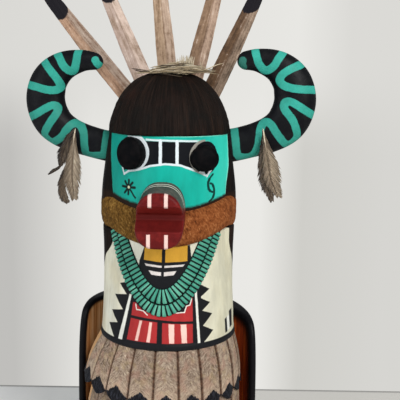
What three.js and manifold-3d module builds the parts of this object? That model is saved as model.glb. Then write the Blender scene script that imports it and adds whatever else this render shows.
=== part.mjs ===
// A carved and painted kachina doll: a horned animal mask over a robed body, on a low round plinth.
// Millimetres, +Z up. The front faces -Y. The origin is the middle of the plinth's underside.
import * as THREE from 'three';
import { mergeVertices } from 'three/addons/utils/BufferGeometryUtils.js';
import Module from 'manifold-3d';

// Driving dimensions.
const clearance = 0.3;      // between pieces that touch
const columns = 80;         // facets around the body, four to each skirt feather
const plinth = { radius: 75, height: 12, edge: 1.5 };
const foot = plinth.height + clearance;
const crown = 280.5;        // top of the head
const hairline = 243;       // where the hair meets the mask
const hem = { low: 110.4, high: 114.2 };

// Body radius at the back and sides, the mask's in front, and the robe's in front: height, radius.
const backProfile = [[110, 43.8], [150, 42.2], [178, 42.6], [202, 43.5], [224, 41.2], [hairline, 38.4]];
const maskProfile = [[196, 39.6], [hairline, 37.8]];
const robeProfile = [[110, 44.2], [172, 38.9], [180, 38.7]];
const hairEdge = { middle: 6, from: 64, to: 76 };   // degrees from the front

// Two tiers of skirt feathers, carved all round.
const featherPitch = 18;    // degrees
const firstGroove = -6.1;
const upperSkirt = { tip: 74, notch: 5, topRadius: 43.6, tipRadius: 52.8, under: 47.2 };
const lowerSkirt = { tip: 44, notch: 5, topRadius: 47.2, tipRadius: 52, under: 46.5 };
const skirtLean = { aside: -3.4, rise: 3, tilt: -3 };   // the tips sit towards -X, and end higher there

const ruff = { radius: 43.9, low: 175, high: 197.2, lowRise: 8.5, highRise: 6.4 };

// Each necklace edge hangs at height = lowest + slope * (hypot(angle, round) - round), in degrees.
const necklace = { middle: -1.6, radius: 39.6, relief: 2.6, sunk: 0.6, reach: [45, 57], edges: [
  { lowest: 149.5, slope: 1.86, round: 30 },
  { lowest: 139.6, slope: 1.98, round: 50 },
  { lowest: 131.8, slope: 1.32, round: 36 },
] };

const cape = { x: -0.9, outer: 61.3, back: 57, wall: 4.8, joins: 41, opens: 86, tilt: 4.3 };
const snout = { x: -1.3, z: 197.2, width: 28, height: 35.6, root: -39, front: -67, slope: 3.2 };
const mouth = { top: 204.6, bottom: 189.8, backTop: 198.6, backBottom: 195.4, depth: 9 };
const eye = { radius: 8.8, wall: 5.6, dome: 2.6 };
const horn = { depth: 17, centre: [[33, 232.8], [49, 236.4], [64.3, 241.6], [75, 249.5],
  [79.8, 262], [77.5, 275], [69, 284.2], [56, 288.4], [42.6, 287.6]],
  widths: [21.6, 21.2, 23, 26.2, 26.8, 25, 20.6, 14.8, 10] };
const crestFeather = { y: 14, footHeight: 262, buried: 14, width: 12.8, thickness: 2 };
const crestFan = [
  { x: -25.4, lean: 39.4, length: 95 },
  { x: -12.3, lean: 23.7, length: 88 },
  { x: -0.6, lean: 6.1, length: 86 },
  { x: 10.6, lean: -13.9, length: 87 },
  { x: 23.3, lean: -24.7, length: 83 },
];
const hangingFeather = { x: 58.6, y: -10.6, top: 247, length: 49, width: 12.4, thickness: 1.1 };
const tuft = { from: -24, to: 32, y: -7, z: 281.8, thick: 3.8, thin: 0.9, depth: 2.4 };

const turn = Math.PI / 180;
const mix = THREE.MathUtils.lerp;
const ramp = (value, from, to) => THREE.MathUtils.smoothstep(value, from, to);

// Reads a profile at a height, straight from point to point.
function read(profile, height) {
  const above = profile.findIndex(([level]) => level >= height);
  const i = above < 0 ? profile.length - 1 : Math.max(1, above);
  const [[lowLevel, lowRadius], [highLevel, highRadius]] = [profile[i - 1], profile[i]];
  const share = THREE.MathUtils.clamp((height - lowLevel) / (highLevel - lowLevel), 0, 1);
  return mix(lowRadius, highRadius, share);
}

const wasm = await Module();
wasm.setup();

// A closed geometry as a solid. Its corners are merged, and its faces point out.
function solidOf(geometry) {
  const bare = geometry.index ? geometry.toNonIndexed() : geometry.clone();
  bare.deleteAttribute('normal');
  bare.deleteAttribute('uv');
  const merged = mergeVertices(bare, 1e-4);
  const at = merged.attributes.position;
  const corner = (i) => new THREE.Vector3().fromBufferAttribute(at, i);
  const faces = [];
  let volume = 0;
  for (let i = 0; i < merged.index.count; i += 3) {
    const [a, b, c] = [0, 1, 2].map((k) => merged.index.getX(i + k));
    if (a === b || b === c || c === a) continue;
    faces.push([a, b, c]);
    volume += corner(a).dot(corner(b).cross(corner(c)));
  }
  const outward = volume < 0 ? faces.map(([a, b, c]) => [a, c, b]) : faces;
  return new wasm.Manifold(new wasm.Mesh({
    numProp: 3,
    vertProperties: new Float32Array(at.array),
    triVerts: new Uint32Array(outward.flat()),
  }));
}

function geometryOf(solid) {
  const mesh = solid.getMesh();
  const geometry = new THREE.BufferGeometry();
  geometry.setAttribute('position', new THREE.BufferAttribute(mesh.vertProperties, 3));
  geometry.setIndex(new THREE.BufferAttribute(mesh.triVerts, 1));
  return geometry;
}

// A closed skin of rings: place(ring, angle) is each corner. The first and last rings are points.
function skin(rings, sides, place) {
  const profile = Array.from({ length: rings }, (_, ring) => new THREE.Vector2(1, ring));
  const geometry = new THREE.LatheGeometry(profile, sides);
  const at = geometry.attributes.position;
  for (let i = 0; i < at.count; i += 1) {
    const column = Math.floor(i / rings) % sides;
    at.setXYZ(i, ...place(i % rings, (column / sides) * 2 * Math.PI));
  }
  return geometry;
}

// Head, mask, ruff, robe and skirts: rows of the carving, each with its height and radius by angle.
function bodyRows() {
  const rows = [];
  const row = (height, radius) => rows.push({ height, radius });
  const level = (value) => () => value;
  const side = (a) => ramp(Math.abs(a - hairEdge.middle), hairEdge.from, hairEdge.to);
  const across = (a) => {
    const place = (a - firstGroove) / featherPitch;
    return Math.abs(2 * (place - Math.floor(place)) - 1);
  };
  const rib = (a) => 1.5 * (across(a) ** 3);
  const sideways = (a) => Math.sin(a * turn);
  const tipLine = (skirt) => (a) => (
    skirt.tip + skirt.notch * across(a) ** 1.6
      + (skirtLean.rise * sideways(a) + skirtLean.tilt) * sideways(a)
  );
  const between = (profile, z) => (a) => {
    const front = read(profile, z);
    return mix(front, Math.max(front, read(backProfile, z)), side(a));
  };
  const dressed = (z) => between(robeProfile, z);
  const faced = (z) => between(maskProfile, z);
  const away = (a) => ramp(Math.abs(a), 8, 78);

  row(level(foot), level(0));
  row(level(foot), level(lowerSkirt.under - 1));
  for (const [skirt, top] of [[lowerSkirt, tipLine(upperSkirt)], [upperSkirt, level(hem.low)]]) {
    const tip = tipLine(skirt);
    const flare = (share) => (a) => mix(skirt.tipRadius, skirt.topRadius, share) - rib(a)
      + (1 - share) * skirtLean.aside * sideways(a);
    row(tip, level(skirt.under));
    row((a) => tip(a) + 0.8, flare(0));
    row((a) => mix(tip(a), top(a), 0.55), flare(0.42));
    row((a) => top(a) - 0.4, flare(1));
  }
  row(level(hem.low), dressed(hem.low));
  for (const z of [hem.high, 130, 146, 160, 173]) row(level(z), dressed(z));

  const low = (a) => ruff.low + ruff.lowRise * away(a);
  const high = (a) => ruff.high + ruff.highRise * away(a);
  for (const share of [0, 0.12, 0.45, 0.78, 0.96]) {
    const swell = Math.sqrt(1 - (2 * share - 1) ** 2);
    row((a) => mix(low(a), high(a), share), (a) => mix(dressed(180)(a), ruff.radius, swell));
  }
  row((a) => high(a) + 0.4, (a) => faced(198)(a) - 1.2);
  row((a) => high(a) + 2.2, (a) => faced(200)(a));
  for (const z of [214, 229, hairline - 0.6]) row(level(z), faced(z));

  const rise = crown - hairline;
  for (const share of [0, 0.2, 0.42, 0.62, 0.78, 0.9, 0.975]) {
    const radius = 38.8 * (1 - share ** 1.5) ** (1 / 2.8);
    row(level(hairline + rise * share), level(radius));
  }
  row(level(crown), level(0));
  return rows;
}

// The turned body. grow makes it fatter, to cut its neighbours clear of it.
function bodySolid(grow) {
  const rows = bodyRows();
  return solidOf(skin(rows.length, columns, (ring, angle) => {
    const degrees = (angle / turn + firstGroove + 180) % 360 - 180;
    const radius = rows[ring].radius(degrees) + (ring === 0 || ring === rows.length - 1 ? 0 : grow);
    const lift = ring > rows.length - 9 ? grow : 0;
    const theta = degrees * turn;
    return [radius * Math.sin(theta), -radius * Math.cos(theta), rows[ring].height(degrees) + lift];
  }));
}

// One strand of the necklace, a half-sunk cord between two of the hanging edges.
function necklaceStrand(upper, lower, reach) {
  const hang = (edge, a) => edge.lowest + edge.slope * (Math.hypot(a, edge.round) - edge.round);
  const rings = 26;
  return solidOf(skin(rings, 6, (ring, around) => {
    const share = THREE.MathUtils.clamp((ring - 1) / (rings - 3), 0, 1);
    const a = mix(-reach, reach, share);
    const middle = (hang(upper, a) + hang(lower, a)) / 2;
    const slope = (hang(upper, a + 1) - hang(upper, a - 1)) / 2 / (necklace.radius * turn);
    const tilt = 1 / Math.hypot(1, slope);
    const half = ring === 0 || ring === rings - 1 ? 0 : ((hang(upper, a) - hang(lower, a)) / 2) * tilt;
    const sideways = half * Math.cos(around);
    const theta = (a + necklace.middle) * turn - (sideways * slope * tilt) / necklace.radius;
    const height = middle + sideways * tilt;
    const relief = half === 0 ? 0 : necklace.relief * Math.sin(around) - necklace.sunk;
    const surface = read(robeProfile, height) + relief;
    return [surface * Math.sin(theta), -surface * Math.cos(theta), height];
  }));
}

// The cape: a shell around the back, open in front, its front corners rounded off at the shoulders.
function capeSolid() {
  const steps = 16;
  const arc = (from, to, radius) => Array.from({ length: steps + 1 }, (_, i) => {
    const a = mix(from, to, i / steps);
    const r = radius(Math.abs(a));
    return new THREE.Vector2(r * Math.sin(a * turn), r * Math.cos(a * turn));
  });
  const outer = (a) => mix(cape.back, cape.outer, a / cape.opens);
  const inner = (a) => mix(cape.joins, outer(a) - cape.wall, ramp(a, 34, 80));
  const edge = cape.opens;
  const plan = new THREE.Shape([...arc(-edge, edge, outer), ...arc(edge, -edge, inner)]);
  const shell = new THREE.ExtrudeGeometry(plan, { depth: 140, bevelEnabled: false });
  shell.translate(cape.x, 0, foot);

  const profile = new THREE.Shape();
  profile.moveTo(3, 0);
  profile.lineTo(4.4, 70);
  profile.splineThru([[6, 94], [10, 111], [16, 117.9], [26, 121.7], [40, 123.9]]
    .map(([y, z]) => new THREE.Vector2(y, z)));
  profile.lineTo(80, 126.5);
  profile.lineTo(80, 0);
  const shoulders = new THREE.ExtrudeGeometry(profile, { depth: 160, bevelEnabled: false, curveSegments: 2 });
  shoulders.rotateX(Math.PI / 2);
  shoulders.rotateZ(Math.PI / 2);
  shoulders.translate(-80, 0, 0);
  shoulders.rotateY(cape.tilt * turn);
  return solidOf(shell).intersect(solidOf(shoulders));
}

const clearOfBody = bodySolid(clearance);

function makeFigure() {
  const [top, middle, bottom] = necklace.edges;
  return bodySolid(0)
    .add(necklaceStrand(top, middle, necklace.reach[0]))
    .add(necklaceStrand(middle, bottom, necklace.reach[1]))
    .add(capeSolid());
}

// A horn that sweeps out, up and back over in the upright plane; side is 1 or -1.
function makeHorn(side, lift, slim) {
  const line = new THREE.CatmullRomCurve3(horn.centre.map(([x, z]) => new THREE.Vector3(x, 0, z + lift)));
  const tip = horn.widths.at(-1) / 2 / line.getLength();
  const straight = 25;
  const caps = [30, 60, 90];
  const stations = [{ share: 0, size: 0 }];
  for (let i = 0; i < straight; i += 1) stations.push({ share: (i / (straight - 1)) * (1 - tip), size: 1 });
  for (const a of caps) {
    stations.push({ share: 1 - tip + tip * Math.sin(a * turn), size: Math.cos(a * turn) });
  }
  const widthAt = (share) => {
    const place = share * (horn.widths.length - 1);
    const i = Math.min(horn.widths.length - 2, Math.floor(place));
    return slim * mix(horn.widths[i], horn.widths[i + 1], place - i);
  };
  const flatness = horn.depth / widthAt(0.5);
  const swept = skin(stations.length, 12, (ring, around) => {
    const { share, size } = stations[ring];
    const half = (size * widthAt(share)) / 2;
    const point = line.getPoint(share);
    const along = line.getTangent(share);
    const out = half * Math.cos(around);
    return [side * (point.x + along.z * out), half * flatness * Math.sin(around), point.z - along.x * out];
  });
  return solidOf(swept).subtract(clearOfBody);
}

// The muzzle: a rounded bar out of the mask, with the open mouth cut across its front.
function makeSnout() {
  const face = new THREE.Shape(Array.from({ length: 24 }, (_, i) => {
    const a = (i / 24) * 2 * Math.PI;
    const squared = (value) => Math.sign(value) * Math.abs(value) ** 0.75;
    const jaw = 1 - 0.07 * Math.sin(a);
    const [width, height] = [snout.width / 2 - 2, snout.height / 2 - 2];
    return new THREE.Vector2(width * jaw * squared(Math.cos(a)), height * squared(Math.sin(a)));
  }));
  const back = -30;
  const bar = new THREE.ExtrudeGeometry(face, {
    depth: back - snout.front - 2, bevelThickness: 2, bevelSize: 2, bevelSegments: 2,
  });
  bar.rotateX(Math.PI / 2);
  bar.translate(snout.x, back, snout.z);
  const at = bar.attributes.position;
  for (let i = 0; i < at.count; i += 1) {       // the top comes down towards the front
    const out = THREE.MathUtils.clamp((snout.root - at.getY(i)) / (snout.root - snout.front), 0, 1);
    at.setZ(i, at.getZ(i) - snout.slope * out * ((at.getZ(i) - snout.z) / snout.height + 0.5));
  }

  const cut = new THREE.Shape([
    [snout.front - 4, mouth.top + 1.5], [snout.front, mouth.top],
    [snout.front + mouth.depth, mouth.backTop], [snout.front + mouth.depth, mouth.backBottom],
    [snout.front, mouth.bottom], [snout.front - 4, mouth.bottom - 1.5],
  ].map(([y, z]) => new THREE.Vector2(y, z)));
  const gape = new THREE.ExtrudeGeometry(cut, { depth: 40, bevelEnabled: false });
  gape.rotateX(Math.PI / 2);
  gape.rotateZ(Math.PI / 2);
  gape.translate(-20, 0, 0);
  return solidOf(bar).subtract(solidOf(gape)).subtract(clearOfBody);
}

// A bulging eye: a short drum with a domed front, standing out of the mask.
function makeEye(at, facing, z, tall) {
  const profile = [[0, -8], [eye.radius, -8], [eye.radius, eye.wall]];
  for (const a of [30, 60]) {
    profile.push([eye.radius * Math.cos(a * turn), eye.wall + eye.dome * Math.sin(a * turn)]);
  }
  profile.push([0, eye.wall + eye.dome]);
  const drum = new THREE.LatheGeometry(profile.map(([r, y]) => new THREE.Vector2(r, y)), 20);
  drum.rotateX(Math.PI);
  drum.scale(1, 1, tall);
  drum.rotateZ(facing * turn);
  const r = read(maskProfile, z);
  drum.translate(r * Math.sin(at * turn), -r * Math.cos(at * turn), z);
  return solidOf(drum).subtract(clearOfBody);
}

// A flat feather standing on its quill. Its outline pairs a share of the length with a half width.
function featherBlade(length, thickness, outline) {
  const edge = (sign) => outline.map(([share, half]) => new THREE.Vector2(sign * half, share * length));
  const shape = new THREE.Shape([...edge(1), ...edge(-1).reverse()]);
  const blade = new THREE.ExtrudeGeometry(shape, { depth: thickness, bevelEnabled: false });
  blade.rotateX(Math.PI / 2);
  blade.translate(0, thickness / 2, 0);
  return blade;
}

function makeCrestFeather({ x, lean, length }) {
  const { y, footHeight, width, thickness, buried } = crestFeather;
  const outline = [[0, 1], [0.5, 0.94], [0.84, 0.74], [0.9, 0.69], [0.95, 0.53], [0.985, 0.27], [1, 0.06]]
    .map(([share, wide]) => [share, (wide * width) / 2]);
  const blade = featherBlade(length + buried, thickness, outline);
  blade.translate(0, 0, -buried);
  blade.rotateY(-lean * turn);
  blade.translate(x, y, footHeight);
  return solidOf(blade).subtract(clearOfBody);
}

// A small soft feather tied to a horn, with a shorter one crossing behind it.
function makeHangingFeather(side) {
  const { x, y, top, length, width, thickness } = hangingFeather;
  const outline = [[0, 0.13], [0.06, 0.14], [0.15, 0.38], [0.27, 0.72], [0.4, 0.94], [0.55, 1],
    [0.72, 0.92], [0.86, 0.7], [0.95, 0.42], [1, 0.14]].map(([share, wide]) => [share, (wide * width) / 2]);
  const hang = (long, lean, behind) => {
    const blade = featherBlade(long, thickness, outline);
    blade.rotateY(Math.PI - side * lean * turn);
    blade.translate(side * x, y + behind, top);
    return solidOf(blade);
  };
  return hang(length, 7, 0).add(hang(length * 0.95, 12.5, thickness * 0.8));
}

// The dried plant fibre bound across the crown at the feet of the crest, thinning to a strand each way.
function makeTuft() {
  const rings = 14;
  const middle = 6;
  const bundle = skin(rings, 7, (ring, around) => {
    const x = mix(tuft.from, tuft.to, ring / (rings - 1));
    const swell = Math.exp(-(((x - middle) / 14) ** 4));
    const end = ring === 0 || ring === rings - 1 ? 0 : 1;
    const size = end * (tuft.thin + tuft.thick * swell * (1 + 0.1 * Math.sin(3 * around + ring * 2.1)));
    const z = tuft.z + 4 * ((x - middle) / 28) ** 2 * (x > middle ? 1 : 0.2);
    return [x, tuft.y + tuft.depth * size * Math.cos(around), z + size * Math.sin(around)];
  });
  return solidOf(bundle).subtract(clearOfBody);
}

function makePlinth() {
  const { radius, height, edge } = plinth;
  const profile = [[0, 0], [radius - edge, 0], [radius, edge], [radius, height - edge],
    [radius - edge, height], [0, height]];
  const disc = new THREE.LatheGeometry(profile.map(([r, y]) => new THREE.Vector2(r, y)), 44);
  disc.rotateX(Math.PI / 2);
  return solidOf(disc);
}

const kachina = new THREE.Group();

function place(name, solid, color, roughness) {
  const material = new THREE.MeshStandardMaterial({ color, roughness, metalness: 0 });
  const mesh = new THREE.Mesh(geometryOf(solid), material);
  mesh.name = name;
  kachina.add(mesh);
}

place('figure', makeFigure(), 0xcfcab6, 0.7);
place('horn_left', makeHorn(-1, -1.7, 0.93), 0x2fae98, 0.6);
place('horn_right', makeHorn(1, 0, 1), 0x2fae98, 0.6);
place('snout', makeSnout(), 0x7a1f1c, 0.5);
place('eye_left', makeEye(-30.8, -28, 231.4, 1.1), 0x161515, 0.45);
place('eye_right', makeEye(37, 8, 229, 0.89), 0x161515, 0.45);
crestFan.forEach((feather, i) => place(`crest_feather_${i + 1}`, makeCrestFeather(feather), 0xa58a78, 0.75));
place('tuft', makeTuft(), 0xb9b08c, 0.9);
place('hanging_feather_left', makeHangingFeather(-1), 0x6d6152, 0.9);
place('hanging_feather_right', makeHangingFeather(1), 0x6d6152, 0.9);
place('plinth', makePlinth(), 0x3a2318, 0.5);

export default kachina;
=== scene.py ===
# A kachina doll of carved and painted cottonwood root: a horned animal mask over a robed body, on a plinth.
# The front faces -Y. Lengths are in millimetres and angles in degrees; the meshes end up in metres.
import math
import random

import bmesh
import bpy
from mathutils import Matrix, Vector, noise


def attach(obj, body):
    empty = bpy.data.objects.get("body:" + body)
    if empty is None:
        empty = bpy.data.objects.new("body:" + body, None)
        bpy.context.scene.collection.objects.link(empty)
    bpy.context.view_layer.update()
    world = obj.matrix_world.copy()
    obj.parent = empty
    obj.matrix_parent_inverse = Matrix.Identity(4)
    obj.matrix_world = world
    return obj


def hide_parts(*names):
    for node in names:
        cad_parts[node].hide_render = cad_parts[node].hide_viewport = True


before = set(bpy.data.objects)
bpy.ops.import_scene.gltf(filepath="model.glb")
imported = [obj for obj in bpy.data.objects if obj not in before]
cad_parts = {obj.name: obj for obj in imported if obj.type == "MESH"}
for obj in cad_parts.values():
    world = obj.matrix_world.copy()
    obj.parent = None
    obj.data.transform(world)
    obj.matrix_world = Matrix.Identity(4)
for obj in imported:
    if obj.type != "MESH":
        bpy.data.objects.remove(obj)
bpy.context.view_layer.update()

mm = 0.001


def mix(a, b, share):
    return a + (b - a) * share


def clamp(value, low=0.0, high=1.0):
    return max(low, min(high, value))


def ramp(value, low, high):  # 0 below low, 1 above high, smooth between
    t = clamp((value - low) / (high - low))
    return t * t * (3 - 2 * t)


def read(points, at):  # straight from point to point
    for (x0, y0), (x1, y1) in zip(points, points[1:]):
        if at <= x1:
            return mix(y0, y1, clamp((at - x0) / (x1 - x0)))
    return points[-1][1]


def readSmooth(points, at):  # one smooth line through the points
    last = len(points) - 1
    i = next((k for k in range(last) if at <= points[k + 1][0]), last - 1)
    slope = lambda k: ((points[min(k + 1, last)][1] - points[max(k - 1, 0)][1])
                       / (points[min(k + 1, last)][0] - points[max(k - 1, 0)][0]))
    (x0, y0), (x1, y1) = points[i], points[i + 1]
    step = x1 - x0
    t = clamp((at - x0) / step)
    return ((2 * t ** 3 - 3 * t ** 2 + 1) * y0 + (t ** 3 - 2 * t ** 2 + t) * step * slope(i)
            + (3 * t ** 2 - 2 * t ** 3) * y1 + (t ** 3 - t ** 2) * step * slope(i + 1))


def spline(points, share):  # a smooth curve through 2-D or 3-D points, share from 0 to 1
    last = len(points) - 1
    i = min(last - 1, int(clamp(share) * last))
    t = clamp(share) * last - i
    a, b, c, d = (Vector(points[clamp(k, 0, last)]) for k in (i - 1, i, i + 1, i + 2))
    a = a if i > 0 else 2 * b - c
    d = d if i < last - 1 else 2 * c - b
    square, cube = 2 * a - 5 * b + 4 * c - d, 3 * b - a - 3 * c + d
    return (2 * b + (c - a) * t + square * t * t + cube * t ** 3) / 2


def ripple(x, y, z, size):  # smooth noise between about -1 and 1, with lumps of that size
    return noise.noise(Vector((x / size, y / size, z / size)))


def polar(radius, angle, height):  # the angle runs from the front towards +X
    return Vector((radius * math.sin(math.radians(angle)), -radius * math.cos(math.radians(angle)), height))


# ---- meshes

def sheetOf(bm, across, along, place, carried=()):
    # A grid rolled into shape: place(u, v) is each corner, u and v from 0 to 1. Edges that meet are closed.
    # Where names are given as carried, place also gives the numbers that the corner keeps for its material.
    uv = bm.loops.layers.uv.verify()
    layers = [bm.verts.layers.float.new(name) for name in carried]
    corners = bmesh.ops.create_grid(bm, x_segments=across, y_segments=along, size=0.5,
                                    matrix=Matrix.Translation((0.5, 0.5, 0)))["verts"]
    for face in {face for vert in corners for face in vert.link_faces}:
        for loop in face.loops:
            loop[uv].uv = loop.vert.co.xy
    for vert in corners:
        made = place(vert.co.x, vert.co.y)
        vert.co, numbers = made if carried else (made, ())
        for layer, number in zip(layers, numbers):
            vert[layer] = number
    bmesh.ops.remove_doubles(bm, verts=corners, dist=0.001)


def turned(bm, rows, columns):  # rows are functions of the angle that give radius and height
    last = len(rows) - 1

    def place(u, v):
        angle = 360 * u - 180
        radius, height = rows[round(v * last)](angle)
        return polar(radius, angle, height)

    sheetOf(bm, columns, last, place)


def lathe(bm, profile, steps):  # (radius, height) points spun round the upright axis
    verts = [bm.verts.new((radius, 0, height)) for radius, height in profile]
    edges = [bm.edges.new(pair) for pair in zip(verts, verts[1:])]
    bmesh.ops.spin(bm, geom=verts + edges, cent=(0, 0, 0), axis=(0, 0, 1), angle=2 * math.pi,
                   steps=steps, use_merge=True)
    bmesh.ops.remove_doubles(bm, verts=bm.verts, dist=0.001)


def pieceOf(bm, name, node, material, outward=True):
    if outward:
        bmesh.ops.recalc_face_normals(bm, faces=bm.faces)
    bmesh.ops.scale(bm, vec=(mm, mm, mm), verts=bm.verts)
    mesh = bpy.data.meshes.new(name)
    bm.to_mesh(mesh)
    bm.free()
    mesh.shade_smooth()
    mesh.materials.append(material)
    piece = bpy.data.objects.new(name, mesh)
    bpy.context.collection.objects.link(piece)
    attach(piece, "root")
    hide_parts(node)
    print(f"{name}: {len(mesh.polygons)} faces")
    return piece


# ---- materials

def shade(code):  # a colour as painters write it, to Blender's own
    parts = [int(code[i:i + 2], 16) / 255 for i in (0, 2, 4)]
    return tuple(c / 12.92 if c <= 0.04045 else ((c + 0.055) / 1.055) ** 2.4 for c in parts) + (1.0,)


class Signal:  # a socket that sums can be written with
    def __init__(self, paint, socket):
        self.paint, self.socket = paint, socket

    def math(self, operation, *others, clamped=False):
        return self.paint.node("Math", {"operation": operation, "use_clamp": clamped},
                               dict(enumerate((self, *others))))

    def __add__(self, other):
        return self.math("ADD", other)

    def __sub__(self, other):
        return self.math("SUBTRACT", other)

    def __rsub__(self, other):
        return self.paint.math("SUBTRACT", other, self)

    def __mul__(self, other):
        return self.math("MULTIPLY", other)

    def __truediv__(self, other):
        return self.math("DIVIDE", other)

    def __pow__(self, other):
        return self.math("POWER", other)

    def __neg__(self):
        return self.math("MULTIPLY", -1.0)

    def below(self, other):  # the lower of the two
        return self.math("MINIMUM", other)

    def above(self, other):  # the higher of the two
        return self.math("MAXIMUM", other)

    def abs(self):
        return self.math("ABSOLUTE")

    def sin(self):
        return self.math("SINE")

    def past(self, level, soft):  # 1 above the level, 0 below, over a soft edge
        return self.math("MULTIPLY_ADD", 1 / soft, 0.5 - level / soft, clamped=True)

    def within(self, low, high, soft):
        return self.past(low, soft) * (1 - self.past(high, soft))

    def spread(self, low, high, newLow, newHigh):
        return self.paint.node("MapRange", {"interpolation_type": "SMOOTHSTEP"},
                               {0: self, 1: low, 2: high, 3: newLow, 4: newHigh})


class Nodes:  # the nodes of a material or of the room
    def __init__(self, tree):
        self.tree = tree

    def node(self, kind, settings, sockets, out=0):
        made = self.tree.nodes.new("ShaderNode" + kind)
        for key, value in settings.items():
            if key == "stops":
                stops = made.color_ramp.elements
                for at, colour in value[len(stops):]:
                    stops.new(at)
                for stop, (at, colour) in zip(stops, value):
                    stop.position, stop.color = at, colour
            else:
                setattr(made, key, value)
        for key, value in sockets.items():
            if isinstance(value, Signal):
                self.tree.links.new(value.socket, made.inputs[key])
            else:
                made.inputs[key].default_value = value
        return Signal(self, made.outputs[out])

    def math(self, operation, *values):
        return self.node("Math", {"operation": operation}, dict(enumerate(values)))

    def vector(self, x, y, z=0.0):
        return self.node("CombineXYZ", {}, {0: x, 1: y, 2: z})

    def over(self, mask, upper, lower):  # one colour painted over another
        return self.node("Mix", {"data_type": "RGBA"}, {0: mask, 6: lower, 7: upper}, 2)

    def deepen(self, colour, amount):  # multiplies a colour by a number
        return self.node("VectorMath", {"operation": "SCALE"}, {0: colour, "Scale": amount})

    def tones(self, value, *stops):  # colours that follow each other as the value grows
        return self.node("ValToRGB", {"stops": [(at, shade(code)) for at, code in stops]}, {0: value})

    def noise(self, vector, scale, detail=2.0, rough=0.5):
        sockets = {"Vector": vector, "Scale": scale, "Detail": detail, "Roughness": rough}
        return self.node("TexNoise", {}, sockets)


class Paint(Nodes):
    def __init__(self, name, roughness=0.6, sheen=0.0, coat=0.0, shine=0.09):
        self.material = bpy.data.materials.new(name)
        self.material.use_nodes = True
        super().__init__(self.material.node_tree)
        self.tree.nodes.clear()
        self.shader = self.tree.nodes.new("ShaderNodeBsdfPrincipled")
        self.shader.inputs["Roughness"].default_value = roughness
        self.shader.inputs["Sheen Weight"].default_value = sheen
        self.shader.inputs["Specular IOR Level"].default_value = shine
        self.shader.inputs["Coat Weight"].default_value = coat
        self.shader.inputs["Coat Roughness"].default_value = 0.3
        end = self.tree.nodes.new("ShaderNodeOutputMaterial")
        self.tree.links.new(self.shader.outputs[0], end.inputs[0])
        self.place = self.node("VectorMath", {"operation": "SCALE"},
                               {0: self.node("TexCoord", {}, {}, "Object"), "Scale": 1000.0})
        self.x, self.y, self.z = (self.node("SeparateXYZ", {}, {0: self.place}, i) for i in range(3))

    def around(self):  # degrees from the front
        return self.math("ARCTAN2", self.x, -self.y) * (180 / math.pi)

    def stretched(self, x, y, z):  # the place, with each way scaled
        return self.node("VectorMath", {"operation": "MULTIPLY"}, {0: self.place, 1: (x, y, z)})

    def own(self, name):  # a number that the mesh carries
        return self.node("Attribute", {"attribute_name": name}, {}, "Fac")

    def uv(self):
        coordinates = self.node("TexCoord", {}, {}, "UV")
        return tuple(self.node("SeparateXYZ", {}, {0: coordinates}, i) for i in range(2))

    # Painted outlines are distances on a flat vector whose third number is 1: below 0 inside.
    def outline(self, flat, corners):  # a convex outline
        pairs = list(zip(corners, corners[1:] + corners[:1]))
        turn = sum(x0 * y1 - x1 * y0 for (x0, y0), (x1, y1) in pairs)
        distance = None
        for (x0, y0), (x1, y1) in pairs:
            length = math.copysign(math.hypot(x1 - x0, y1 - y0), turn)
            normal = ((y1 - y0) / length, (x0 - x1) / length)
            side = self.node("VectorMath", {"operation": "DOT_PRODUCT"},
                             {0: flat, 1: (*normal, -normal[0] * x0 - normal[1] * y0)}, "Value")
            distance = distance.above(side) if distance else side
        return distance

    def stroke(self, flat, points, half):  # a brush line from point to point
        distance = None
        for (x0, y0), (x1, y1) in zip(points, points[1:]):
            way = Vector((x1 - x0, y1 - y0))
            step = way / way.length_squared
            share = self.node("VectorMath", {"operation": "DOT_PRODUCT"},
                              {0: flat, 1: (step.x, step.y, -step.x * x0 - step.y * y0)}, "Value")
            share = share.math("MULTIPLY", 1.0, clamped=True)
            nearest = self.node("VectorMath", {"operation": "MULTIPLY_ADD"},
                                {0: share, 1: (way.x, way.y, 0), 2: (x0, y0, 1)})
            gap = self.node("VectorMath", {"operation": "DISTANCE"}, {0: flat, 1: nearest}, "Value")
            distance = distance.below(gap) if distance else gap
        return distance - half

    def disc(self, flat, centre, radius):
        gap = self.node("VectorMath", {"operation": "DISTANCE"}, {0: flat, 1: (*centre, 1)}, "Value")
        return gap - radius

    def inside(self, distance, soft=0.35):
        return distance.math("MULTIPLY_ADD", -1 / soft, 0.5, clamped=True)

    def finish(self, colour, height=None, depth=0.3, roughness=None):
        links = self.tree.links
        links.new(colour.socket, self.shader.inputs["Base Color"])
        if roughness is not None:
            links.new(roughness.socket, self.shader.inputs["Roughness"])
        if height is not None:
            bump = self.node("Bump", {}, {"Height": height, "Distance": depth * mm, "Strength": 1.0})
            links.new(bump.socket, self.shader.inputs["Normal"])
        return self.material


# ---- the shape of the turned body, shared by its pieces

figure = {
    "foot": 12.3, "crown": 280.5, "hairline": 243, "hem": (110.4, 114.2),
    "back": [(110, 43.8), (150, 42.2), (178, 42.6), (202, 43.5), (224, 41.2), (243, 38.4)],
    "mask": [(196, 39.6), (243, 37.8)],
    "robe": [(110, 44.2), (172, 38.9), (180, 38.7)],
    "hairEdge": (6, 64, 76),            # middle, and where it starts and ends either side of that
    "degree": 0.69,                     # millimetres of surface to a degree, for the painted patterns
    "ruff": {"radius": 43.9, "low": 175, "lowRise": 8.5, "high": 197.2, "highRise": 6.4, "rises": (8, 78)},
}


def haired(angle):  # 1 where hair covers the log, 0 at the front
    middle, start, end = figure["hairEdge"]
    return ramp(abs(angle - middle), start, end)


def bodyRadius(front, angle, height):
    radius = read(figure[front], height)
    return mix(radius, max(radius, readSmooth(figure["back"], height)), haired(angle))


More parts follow.
